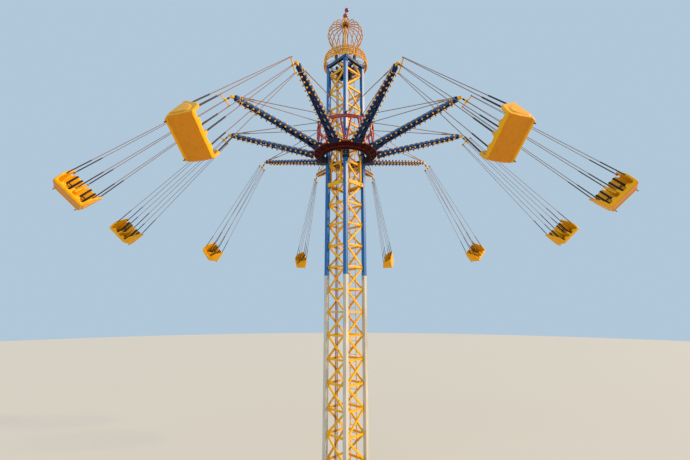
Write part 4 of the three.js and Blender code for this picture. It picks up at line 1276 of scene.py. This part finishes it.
# %% Hanger
SPREAD_Z, ROPE_TOP, ROPE_X = -0.38, -0.406, 0.275
eye = [(0.0235, -0.0275), (0.05, -0.0275), (0.058, -0.02), (0.058, 0.02), (0.05, 0.0275),
       (0.0235, 0.0275)]
swivel = [(0, -0.26), (0.026, -0.26), (0.034, -0.25), (0.034, -0.2), (0.029, -0.195),
          (0.029, -0.185), (0.034, -0.18), (0.034, -0.13), (0.026, -0.12), (0, -0.12)]
spreader = [(-ROPE_X, 0, -0.47), (-ROPE_X, 0, -0.4), (-0.255, 0, SPREAD_Z),
            (0.255, 0, SPREAD_Z), (ROPE_X, 0, -0.4), (ROPE_X, 0, -0.47)]
gusset = plate([(-0.13, SPREAD_Z + 0.01), (0.13, SPREAD_Z + 0.01), (0.02, -0.27), (-0.02, -0.27)],
               [], 0.012, 0.003)
yoke = block((-0.016, -0.06, SPREAD_Z - 0.027), (0.016, 0.06, SPREAD_Z + 0.027), 0.01)
hanger = Piece(YELLOW, IRON_AND_SHADE)
hanger.add(turned(eye, 28), QUARTER)
hanger.add(block((-0.024, -0.018, -0.36), (0.024, 0.018, -0.045), 0.006))
hanger.add(turned(swivel, 20), None, 1)
hanger.add(dress(BARS, [spreader], Radius=0.025, Sides=14, Material=YELLOW))
hanger.add(gusset, QUARTER, smooth=False)
for x in (-ROPE_X, 0, ROPE_X):
    hanger.add(yoke, at(x, 0, 0), 1)
on_chairs(hanger.mesh("hanger_frame"), "hanger_frame", "hanger")

# %% [markdown]
# Six steel ropes carry a chair, three in front and three behind, and they spread as they go down.
# Dark hose covers a little less than the last metre, where hands reach, with raised turns for
# grip. The pull keeps a rope straight, so one straight bar is the right shape, with a pressed
# ferrule at either end.

# %% Ropes and hoses
HOSE_LEN, HOSE_R, ROPE_R = 0.88, 0.0185, 0.0105
rope_ends = []
for x in (-1, 0, 1):
    for y, seat_y, seat_z in ((0.036, 0.215, 0.165), (-0.036, -0.285, 0.575)):
        rope_ends.append((Vector((x * ROPE_X, y, ROPE_TOP)),
                          Vector((x * 0.515, seat_y, seat_z - SEAT_DROP))))
ropes, ferrules, hoses, turns, turn_ways = [], [], [], [], []
for p, q in rope_ends:
    way = (q - p).normalized()
    ropes.append([p, q + way * 0.04])
    ferrules += [[p, p + way * 0.11], [q - way * (HOSE_LEN + 0.05), q - way * (HOSE_LEN - 0.01)]]
    hoses.append([q - way * HOSE_LEN, q - way * 0.005])
    turns.append([q - way * (HOSE_LEN - 0.03), q - way * 0.06])
    turn_ways.append([way, way])
rope_parts = [dress(BARS, ropes, Radius=ROPE_R, Sides=6, Material=ROPE),
              dress(BARS, ferrules, Radius=0.014, Sides=8, Material=STEEL),
              dress(BARS, hoses, Radius=HOSE_R, Sides=10, Material=HOSE),
              dress(RINGS, turns, turn_ways, Spacing=0.055, Ring_Radius=HOSE_R, Wire=0.0035,
                    Sides=8, Material=HOSE)]
on_chairs(merged(rope_parts, "rope_set", [ROPE, STEEL, HOSE]), "rope_set")

# %% [markdown]
# The chair is one plastic moulding for two riders: a pan, a high back, arm rests that flare out,
# a rib between the places, and a broad pommel in front of each place that keeps a rider from
# sliding out. Each of these is an outline seen from the side, drawn out across the chair. Where a
# wall flares, the top of its slab is shifted sideways.

# %% Outlines of the chair
PAN_HALF, WING_HALF, PLACE_X = 0.52, 0.595, 0.272
WALL = [(-0.32, -0.2), (0.24, -0.215), (0.3, -0.17), (0.3, -0.05), (0.28, 0.08), (0.235, 0.19),
        (0.15, 0.28), (0.03, 0.36), (-0.09, 0.43), (-0.18, 0.49), (-0.25, 0.54), (-0.32, 0.535),
        (-0.35, 0.42), (-0.35, -0.1)]
PAD = [(-0.3, -0.1), (-0.24, -0.14), (0.12, -0.14), (0.17, -0.09), (0.15, 0.05), (0.06, 0.18),
       (-0.1, 0.32), (-0.22, 0.39), (-0.29, 0.36)]
RIDGE = [(-0.33, -0.2), (0.26, -0.21), (0.33, -0.13), (0.29, 0.03), (0.26, 0.085), (0.17, 0.085),
         (0.08, 0.05), (-0.13, 0.1), (-0.23, 0.3), (-0.245, 0.5), (-0.33, 0.5)]
CREST = [(-0.345, 0.3), (-0.295, 0.3), (-0.285, 0.47), (-0.31, 0.5), (-0.345, 0.48)]
HORN = [(0.08, -0.2), (0.31, -0.215), (0.335, -0.12), (0.31, -0.02), (0.25, 0.0), (0.17, -0.06)]
FILLER = [(0.1, -0.2), (0.31, -0.21), (0.325, -0.12), (0.29, -0.05), (0.2, -0.09)]
FRONT_LIP = [(0.2, -0.2), (0.3, -0.212), (0.335, -0.13), (0.31, -0.08), (0.26, -0.1)]


def slab(outline, x_low, x_high, x_low_top=None, x_high_top=None):
    """An outline of Y and Z drawn out in X. Its upper part may shift in X, so the slab can lean."""
    work = bmesh.new()
    low_z, high_z = min(z for _, z in outline), max(z for _, z in outline)
    sides = []
    for x, x_top in ((x_low, x_low_top), (x_high, x_high_top)):
        lean = 0 if x_top is None else x_top - x
        sides.append([work.verts.new((x + lean * (z - low_z) / (high_z - low_z), y, z))
                      for y, z in outline])
    work.faces.new(sides[0][::-1])
    work.faces.new(sides[1])
    for i in range(len(outline)):
        j = (i + 1) % len(outline)
        work.faces.new([sides[0][i], sides[0][j], sides[1][j], sides[1][i]])
    return mesh_of(work)


print("outlines of the chair ready; it is", 2 * WING_HALF, "m wide")

# %% [markdown]
# The slabs are laid together roughly, and they may overlap. Lips with a round section follow the
# upper edges of the arm rests and the lower edge of the back, because a rolled edge is what keeps
# such a thin moulding stiff.

# %% Rough chair
shell = Piece(SHELL)
shell.add(block((-PAN_HALF + 0.02, -0.315, -0.215), (PAN_HALF - 0.02, 0.3, -0.145), 0.03))
shell.add(block((-PAN_HALF, -0.345, -0.205), (PAN_HALF, -0.29, 0.4), 0.03))
for place in (-PLACE_X, PLACE_X):
    shell.add(slab(CREST, place - 0.19, place + 0.19))
    shell.add(slab(HORN, place - 0.125, place - 0.06, place - 0.05, place - 0.005))
    shell.add(slab(HORN, place + 0.06, place + 0.125, place + 0.005, place + 0.05))
    shell.add(slab(FILLER, place - 0.1, place + 0.1, place - 0.03, place + 0.03))
shell.add(slab(RIDGE, -0.04, 0.04))
for hand in (-1, 1):
    shell.add(slab(WALL, *sided(hand, PAN_HALF - 0.055, PAN_HALF),
                   *sided(hand, WING_HALF - 0.05, WING_HALF)))


def lip_x(z):
    """How far out the rolled lip of an arm rest is at that height, as the wall flares."""
    return PAN_HALF - 0.03 + (WING_HALF - PAN_HALF) * min(1, (z + 0.2) / 0.74)


lips = [curve_through([(hand * lip_x(z), y - 0.012, z - 0.012) for y, z in WALL[2:12]], 4)
        for hand in (-1, 1)]
rear_lip = [(-0.49, -0.335, -0.2), (0.49, -0.335, -0.2)]
shell.add(dress(BARS, lips, Radius=0.042, Sides=10, Material=SHELL))
shell.add(dress(BARS, [rear_lip], Radius=0.045, Sides=12, Material=SHELL))
shell.add(slab(FRONT_LIP, -0.5, 0.5))
for hand in (-1, 1):
    shell.add(slab(PAD, *sided(hand, PAN_HALF - 0.02, PAN_HALF + 0.035),
                   *sided(hand, WING_HALF - 0.06, WING_HALF + 0.005)))
rough_chair = shell.mesh("rough_chair")
print("rough chair:", len(rough_chair.polygons), "faces")

# %% [markdown]
# On a moulding every corner is round, and round corners between many shapes are slow to bevel one
# by one. So the rough chair is remeshed as one skin, smoothed, and thinned out again. Faces that
# look down are a darker amber, which is painted shade under the chair.

# %% Chair shell
VOXEL, SMOOTHING, KEEP = 0.015, 7, 0.22


def remeshed(rough):
    """One smooth skin over everything in the rough mesh."""
    holder = bpy.data.objects.new("rough", rough)
    skin = holder.modifiers.new("skin", "REMESH")
    skin.mode, skin.voxel_size = "VOXEL", VOXEL
    soften = holder.modifiers.new("soften", "SMOOTH")
    soften.factor, soften.iterations = 0.5, SMOOTHING
    thin = holder.modifiers.new("thin", "DECIMATE")
    thin.ratio = KEEP
    made = plain_mesh(holder)
    made.materials.clear()
    made.materials.append(SHELL)
    made.materials.append(SHELL_SHADE)
    # Faces that look down, except along the back edge, get the darker amber of painted shade
    for face in made.polygons:
        face.material_index = int(face.normal.z < -0.6 and face.center.y > -0.3)
    made.shade_smooth()
    return made


TO_SEAT = at(0, 0, -SEAT_DROP)
chair_shell = remeshed(rough_chair)
chair_shell.transform(TO_SEAT)
on_chairs(chair_shell, "chair_shell", "seat")

# %% [markdown]
# Two rubber pegs stand under the rear edge of the pan as bumpers, and steel lugs with cross pins
# take the ropes on the arm rests and along the middle. The lugs are placed from the ends of the
# ropes, so they stay under them if a rope is moved.

# %% Bumpers and lugs of a chair
fittings = Piece(RUBBER, STEEL)
peg = turned([(0, -0.305), (0.01, -0.305), (0.013, -0.3), (0.013, -0.26), (0.01, -0.255),
              (0.01, -0.2), (0, -0.2)], 14)
for x in (-0.43, 0.43):
    fittings.add(peg, at(x, -0.335, 0))
cross_pin = turned([(0, -0.03), (0.012, -0.03), (0.012, 0.03), (0, 0.03)], 10)
for _, q in rope_ends:
    foot = q + Vector((0, 0, SEAT_DROP))
    fittings.add(block(foot + Vector((-0.03, -0.012, -0.12)), foot + Vector((0.03, 0.012, -0.02)),
                       0.008), None, 1)
    fittings.add(cross_pin, at(*foot) @ at(0, 0, -0.05) @ QUARTER, 1)
fitting_mesh = fittings.mesh("seat_fittings")
fitting_mesh.transform(TO_SEAT)
on_chairs(fitting_mesh, "seat_fittings")

# %% [markdown]
# Every rider gets black webbing: padded shoulder straps on the back, a lap belt, a strap to the
# pommel and one across the chest. Webbing is flat, so it is drawn as a flat band along its path
# instead of being simulated.

# %% Belts
belts = Piece(WEBBING, IRON_AND_SHADE)
for place in (-PLACE_X, PLACE_X):
    for x in (place - 0.085, place + 0.085):
        back = [(x, -0.315, 0.5), (x, -0.27, 0.49), (x, -0.262, 0.38), (x, -0.262, 0.2),
                (x, -0.255, 0.05), (x, -0.23, -0.06), (x, -0.17, -0.105)]
        belts.add(strap(curve_through(back, 4), (1, 0, 0), 0.058, 0.022))
    lap = [(place - 0.205, -0.24, -0.06), (place - 0.17, -0.15, -0.09),
           (place - 0.08, -0.06, -0.108), (place, -0.035, -0.11), (place + 0.08, -0.06, -0.108),
           (place + 0.17, -0.15, -0.09), (place + 0.205, -0.24, -0.06)]
    belts.add(strap(curve_through(lap, 4), (0, 0.45, 0.9), 0.045, 0.008))
    middle = [(place, 0.2, -0.05), (place, 0.12, -0.1), (place, 0.04, -0.122),
              (place, -0.03, -0.105)]
    belts.add(strap(curve_through(middle, 4), (1, 0, 0), 0.045, 0.008))
    belts.add(block((place - 0.035, -0.07, -0.112), (place + 0.035, -0.005, -0.086), 0.008),
              None, 1)
    chest = [(place - 0.085, -0.25, 0.16), (place, -0.243, 0.155), (place + 0.085, -0.25, 0.16)]
    belts.add(strap(curve_through(chest, 4), (0, 0, 1), 0.035, 0.008))
belt_mesh = belts.mesh("belts")
belt_mesh.transform(TO_SEAT)
on_chairs(belt_mesh, "belts")

# %% [markdown]
# Steel towers are bolted together. A thin gusset plate ties every bar of the lattice to its
# column, with three small bolts. One gusset is drawn and mirrored for the other side, which turns
# its faces inside out, so their normals are worked out again at the end.

# %% Gussets of the lattice
BAY, FIRST_BAR, BARS_UP = 1.03, 0.2, 20
FACE_Y = -TOWER_HALF + 0.098
gussets, small_spots, small_ways = Piece(YELLOW), [], []
gusset = plate(rounded([(0, -0.07), (0.13, -0.03), (0.13, 0.03), (0, 0.1)], 0.015, 2), [], 0.006,
               0.001)
for turn in range(4):
    spin = turn_z(90 * turn)
    for k in range(BARS_UP):
        z = FIRST_BAR + k * BAY
        for hand in (-1, 1):
            edge = -hand * INNER
            mirror = Matrix.Diagonal((hand, 1, 1, 1))
            gussets.add(gusset, spin @ at(edge, FACE_Y - 0.003, z) @ mirror @ QUARTER, 0, False)
            for dx, dz in ((0.03, 0.03), (0.03, -0.03), (0.09, 0)):
                small_spots.append(spin @ Vector((edge + hand * dx, FACE_Y - 0.006, z + dz)))
                small_ways.append(spin @ Vector((0, -1, 0)))
bmesh.ops.recalc_face_normals(gussets.work, faces=gussets.work.faces)
place_piece(gussets.mesh("gussets"), "lattice_gussets", "tower")

# %% [markdown]
# The columns come in two lengths, and splice plates inside the corner join them. Each plate is
# enamelled like the length that it sits on, so it is made as two halves, one cream and one blue.

# %% Splice plates
SPLICE_T, SPLICE_HALF = 0.012, 0.2
CORNERS = ((1, 1), (-1, 1), (-1, -1), (1, -1))
ALONG, ACROSS = (INNER + 0.02, INNER + 0.16), (INNER - SPLICE_T, INNER)
splices, big_spots, big_ways = Piece(BLUE, CREAM), [], []
halves = ((SPLIT_Z - SPLICE_HALF, SPLIT_Z, 1), (SPLIT_Z, SPLIT_Z + SPLICE_HALF, 0))
for sx, sy in CORNERS:
    for low, high, enamel in halves:
        for in_x, in_y in ((ALONG, ACROSS), (ACROSS, ALONG)):
            (x_low, x_high), (y_low, y_high) = sided(sx, *in_x), sided(sy, *in_y)
            splices.add(block((x_low, y_low, low), (x_high, y_high, high), 0.003, 1), None, enamel)
    for dz in (-0.15, -0.06, 0.06, 0.15):
        for d in (0.055, 0.125):
            near, far = INNER - SPLICE_T, INNER + d
            big_spots += [(sx * far, sy * near, SPLIT_Z + dz), (sx * near, sy * far, SPLIT_Z + dz)]
            big_ways += [(0, -sy, 0), (-sx, 0, 0)]
place_piece(splices.mesh("splice_plates"), "splice_plates", "tower")

# %% [markdown]
# Anchor bolts hold the base down: four round the foot of every column and a row along each edge
# of the base plate. All the bolts of the tower become one piece, because they share one finish
# and never move against each other.

# %% Bolts of the tower
FOOT, FOOT_TOP, BASE_EDGE, BASE_TOP = 0.625, 0.07, 1.02, 0.04
for sx in (-1, 1):
    for sy in (-1, 1):
        for dx, dy in ((-0.12, -0.12), (0.12, -0.12), (-0.12, 0.12), (0.12, 0.12)):
            big_spots.append((sx * FOOT + dx, sy * FOOT + dy, FOOT_TOP))
for i in range(5):
    t = -0.88 + 0.44 * i
    big_spots += [(t, -BASE_EDGE, BASE_TOP), (t, BASE_EDGE, BASE_TOP), (-BASE_EDGE, t, BASE_TOP),
                  (BASE_EDGE, t, BASE_TOP)]
big_ways += [(0, 0, 1)] * (len(big_spots) - len(big_ways))
tower_bolts = [bolted(small_spots, small_ways, 0.009, ZINC),
               bolted(big_spots, big_ways, 0.018, ZINC)]
place_piece(merged(tower_bolts, "tower_bolts", [ZINC]), "tower_bolts", "tower")

# %% [markdown]
# Inside the tower a ladder runs all the way up, tied to every other bar of the lattice, with
# conduits for the lamps beside it. All of it is round tube of even thickness, so plain bars on
# straight lines are enough.

# %% Ladder and conduits
LADDER_Y, LADDER_HALF, FIRST_RUNG, RUNG_STEP, RUNGS = 0.5, 0.19, 0.4, 0.3, 66
BOTH_RAILS = (-LADDER_HALF, LADDER_HALF)
rails = [[(x, LADDER_Y, 0.12), (x, LADDER_Y, 20.2)] for x in BOTH_RAILS]
rungs = [[(x, LADDER_Y, FIRST_RUNG + RUNG_STEP * i) for x in BOTH_RAILS] for i in range(RUNGS)]
ties = [[(x, y, FIRST_BAR + BAY * k) for y in (LADDER_Y, 0.57)] for k in range(0, BARS_UP, 2)
        for x in BOTH_RAILS]
pipes = [[(-0.5, y, 0.12), (-0.5, y, 20.15)] for y in (-0.16, -0.1, -0.02)]
ladder = [dress(BARS, rails, Radius=0.02, Sides=8, Material=YELLOW),
          dress(BARS, rungs, Radius=0.012, Sides=8, Material=YELLOW),
          dress(BARS, ties, Radius=0.014, Sides=6, Material=YELLOW)]
place_piece(merged(ladder, "ladder", [YELLOW]), "ladder", "tower")
place_piece(dress(BARS, pipes, Radius=0.016, Sides=8, Material=PIPE),
            "conduits", "tower")

# %% [markdown]
# The hoist pulls the carriage up with steel rope: a grooved drum on a frame at the foot, and a
# grooved sheave under the top frame. Grooves are part of a turned outline, so they cost nothing
# extra. Four gear housings hang round the sheave, as simple dark boxes. Only dark shapes show
# through the lattice up there, machinery and shade together, so the boxes are partly machinery and
# partly painted shade.

# %% Hoist
DRUM_Z, SHEAVE_Z, DRUM_R = 0.38, 19.91, 0.15
hoist = Piece(IRON_AND_SHADE, STEEL)
hoist.add(block((-0.15, -0.24, 0.0405), (0.15, 0.24, 0.12), 0.01))
cheek = plate(rounded([(-0.1, 0.1), (0.1, 0.1), (0.06, 0.44), (-0.06, 0.44)], 0.04), [], 0.04,
              0.005)
for y in (-0.205, 0.205):
    hoist.add(cheek, at(0, y, 0) @ QUARTER, smooth=False)
grooves = [(0, -0.18), (DRUM_R, -0.18), (DRUM_R, -0.165)]
for i in range(13):
    y = -0.156 + 0.024 * i
    grooves += [(DRUM_R - 0.022, y), (DRUM_R - 0.012, y + 0.012)]
grooves += [(DRUM_R, 0.165), (DRUM_R, 0.18), (0, 0.18)]
sheave = [(0, -0.04), (0.03, -0.04), (0.03, -0.02), (0.12, -0.02), (DRUM_R, -0.03),
          (DRUM_R, -0.02), (0.132, 0), (DRUM_R, 0.02), (DRUM_R, 0.03), (0.12, 0.02), (0.03, 0.02),
          (0.03, 0.04), (0, 0.04)]
axle = [(0, -0.11), (0.025, -0.11), (0.025, 0.11), (0, 0.11)]
hoist.add(turned(grooves, 40), at(0, 0, DRUM_Z) @ QUARTER, 1)
hoist.add(turned(sheave, 40), at(0, 0, SHEAVE_Z) @ QUARTER, 1)
hoist.add(turned(axle, 16), at(0, 0, SHEAVE_Z) @ QUARTER, 1)
for y in (-0.095, 0.095):
    hoist.add(block((-0.045, y - 0.015, SHEAVE_Z - 0.06), (0.045, y + 0.015, 20.26), 0.008))
# Dark housings, partly machinery and partly painted shade in the top of the tower
housing = block((-0.15, 0.13, SHEAVE_Z - 0.16), (0.15, 0.36, SHEAVE_Z + 0.2), 0.02)
hang_strap = block((-0.05, 0.2, SHEAVE_Z + 0.19), (0.05, 0.3, 20.27), 0.006)
for bearing in (0, 90, 180, 270):
    out = turn_z(bearing) @ at(0, 0.1 if bearing % 180 else 0, 0)
    hoist.add(housing, out).add(hang_strap, out)
falls = dress(BARS, [[(x, 0, DRUM_Z), (x, 0, SHEAVE_Z)] for x in (-0.138, 0.138)], Radius=0.0115,
              Sides=8, Material=ROPE)
place_piece(merged([hoist.mesh("hoist"), falls], "hoist_and_rope", [IRON_AND_SHADE, STEEL, ROPE]),
            "hoist_and_rope", "tower", ["hoist"])

# %% [markdown]
# The carriage climbs inside the ring. Its race is a flanged steel ring with a machined lip, and
# four short beams hug the tower's faces lower down. A post on each face ties the beam to the
# race. Beams and posts are rolled sections, so each is a flat outline of the section drawn out
# along its length.

# %% Carriage frame
RACE_IN, RACE_OUT, FLANGE_R, RACE_TOP = 1.12, 1.215, 1.3, 15.3
BEAM_IN, BEAM_OUT, BEAM_LOW, BEAM_HIGH, BEAM_HALF = 0.639, 0.719, 13.475, 13.645, 0.52
POST_IN, POST_HALF, POST_LOW, POST_TOP, POST_Y = 0.649, 0.035, 13.48, 15.16, 0.36
WALL_T, FLANGE_T = 0.009, 0.012
WEB_OUT, POST_WEB = BEAM_OUT - WALL_T, POST_IN + WALL_T
race = [(RACE_IN, 15.06), (FLANGE_R - 0.004, 15.06), (FLANGE_R, 15.064), (FLANGE_R, 15.0957),
        (FLANGE_R - 0.004, 15.0997), (RACE_OUT, 15.0997), (RACE_OUT, RACE_TOP - 0.006),
        (RACE_OUT - 0.006, RACE_TOP), (RACE_IN + 0.006, RACE_TOP), (RACE_IN, RACE_TOP - 0.006),
        (RACE_IN, 15.2), (RACE_IN + 0.03, 15.19), (RACE_IN + 0.03, 15.11), (RACE_IN, 15.1)]
beam_section = [(BEAM_OUT, BEAM_LOW), (BEAM_OUT, BEAM_HIGH), (BEAM_IN, BEAM_HIGH),
                (BEAM_IN, BEAM_HIGH - FLANGE_T), (WEB_OUT, BEAM_HIGH - FLANGE_T),
                (WEB_OUT, BEAM_LOW + FLANGE_T), (BEAM_IN, BEAM_LOW + FLANGE_T), (BEAM_IN, BEAM_LOW)]
post_section = [(POST_IN, -POST_HALF), (POST_WEB, -POST_HALF), (POST_WEB, -WALL_T / 2),
                (WEB_OUT, -WALL_T / 2), (WEB_OUT, -POST_HALF), (BEAM_OUT, -POST_HALF),
                (BEAM_OUT, POST_HALF), (WEB_OUT, POST_HALF), (WEB_OUT, WALL_T / 2),
                (POST_WEB, WALL_T / 2), (POST_WEB, POST_HALF), (POST_IN, POST_HALF)]
red_edge = oblong(RACE_IN - 0.004, 15.056, RACE_IN + 0.03, 15.062)
beam = plate(beam_section, [], 2 * BEAM_HALF, 0.002)
post = plate(post_section, [], POST_TOP - POST_LOW, 0.002)
bracket = block((POST_IN, -POST_HALF, 15.08), (RACE_IN + 0.03, POST_HALF, POST_TOP), 0.006)
# The race and its brackets take the dark finish of grease and painted shade, and beams and posts
# stay yellow
carriage = Piece(YELLOW, GREASE_AND_SHADE, RED)
carriage.add(turned(race, 96), None, 1).add(turned(red_edge, 96), None, 2)
for turn in range(4):
    spin = turn_z(90 * turn)
    carriage.add(beam, spin @ QUARTER, 0, False)
    carriage.add(post, spin @ at(0, POST_Y, (POST_LOW + POST_TOP) / 2), 0, False)
    carriage.add(bracket, spin @ at(0, POST_Y, 0), 1)
place_piece(carriage.mesh("carriage_steel"), "carriage_steel", "carriage",
            ["carriage_frame"])

# %% [markdown]
# Small things finish the carriage: bolts at the joints, wheel caps and the stiffeners of its
# roller boxes. They repeat at all four corners, so each is placed once and turned.

# %% Carriage details
CORNER, BOX_OUT = TOWER_HALF * math.sqrt(2), 0.165
spots, ways = [], []
trim = Piece(STEEL, IRON_AND_SHADE)
cap = turned([(0, 0), (0.03, 0), (0.03, 0.008), (0.02, 0.014), (0, 0.014)], 16)
for turn in range(4):
    spin, corner = turn_z(90 * turn), turn_z(45 + 90 * turn)
    for dz in (-0.05, 0.05):
        spots.append(spin @ Vector((BEAM_OUT + 0.0005, POST_Y, 13.56 + dz)))
        ways.append(spin @ Vector((1, 0, 0)))
    for y in (-0.12, 0, 0.12):
        for z in (14.78, 15.0):
            spots.append(corner @ Vector((CORNER + BOX_OUT, y, z)))
            ways.append(corner @ Vector((1, 0, 0)))
    for y in (-0.165, 0.165):
        trim.add(block((CORNER, y - 0.006, 14.73), (CORNER + 0.19, y + 0.006, 15.058), 0.003, 1),
                 corner, 1)
    trim.add(cap, corner @ at(CORNER + BOX_OUT, 0, 14.89) @ SIDEWAYS)
place_piece(trim.mesh("roller_box_trim"), "roller_box_trim", "carriage")
place_piece(bolted(spots, ways, 0.013, ZINC), "carriage_bolts", "carriage")

# %% [markdown]
# A pale floor and soft light show the ride without a place around it. The sky is one pale colour,
# which fills the shadows, and a low sun makes the enamel gleam. A second, very soft light lifts
# the side in shade.

# %% Floor and light
SUNS = [("key", "#ffdcae", 64, 134, 4.3, 8), ("fill", "#dcebff", 60, 20, 0.5, 50)]
FLOOR_R = 120
floor_mesh = turned([(0, -0.06), (FLOOR_R, -0.06), (FLOOR_R, -0.001), (0, -0.001)], 64)
floor = bpy.data.objects.new("floor", floor_mesh)
bpy.context.scene.collection.objects.link(floor)
ground = bpy.data.materials.new("pale floor")
ground.use_nodes = True
ground_shader = ground.node_tree.nodes["Principled BSDF"]
ground_shader.inputs["Base Color"].default_value = rgb("#cfcabf")
ground_shader.inputs["Roughness"].default_value = 0.8
floor_mesh.materials.append(ground)

world = bpy.data.worlds.new("soft sky")
world.use_nodes = True
sky = world.node_tree.nodes["Background"]
sky.inputs["Color"].default_value = rgb("#c3dcf0")
sky.inputs["Strength"].default_value = 0.8
bpy.context.scene.world = world
for name, colour, tilt, bearing, strength, size in SUNS:
    lamp = bpy.data.lights.new(name, "SUN")
    lamp.energy, lamp.angle, lamp.color = strength, math.radians(size), rgb(colour)[:3]
    shown = bpy.data.objects.new(name, lamp)
    shown.rotation_euler = (math.radians(tilt), 0, math.radians(bearing))
    bpy.context.scene.collection.objects.link(shown)
bpy.context.scene.view_settings.view_transform = "Standard"
print("floor and light set")
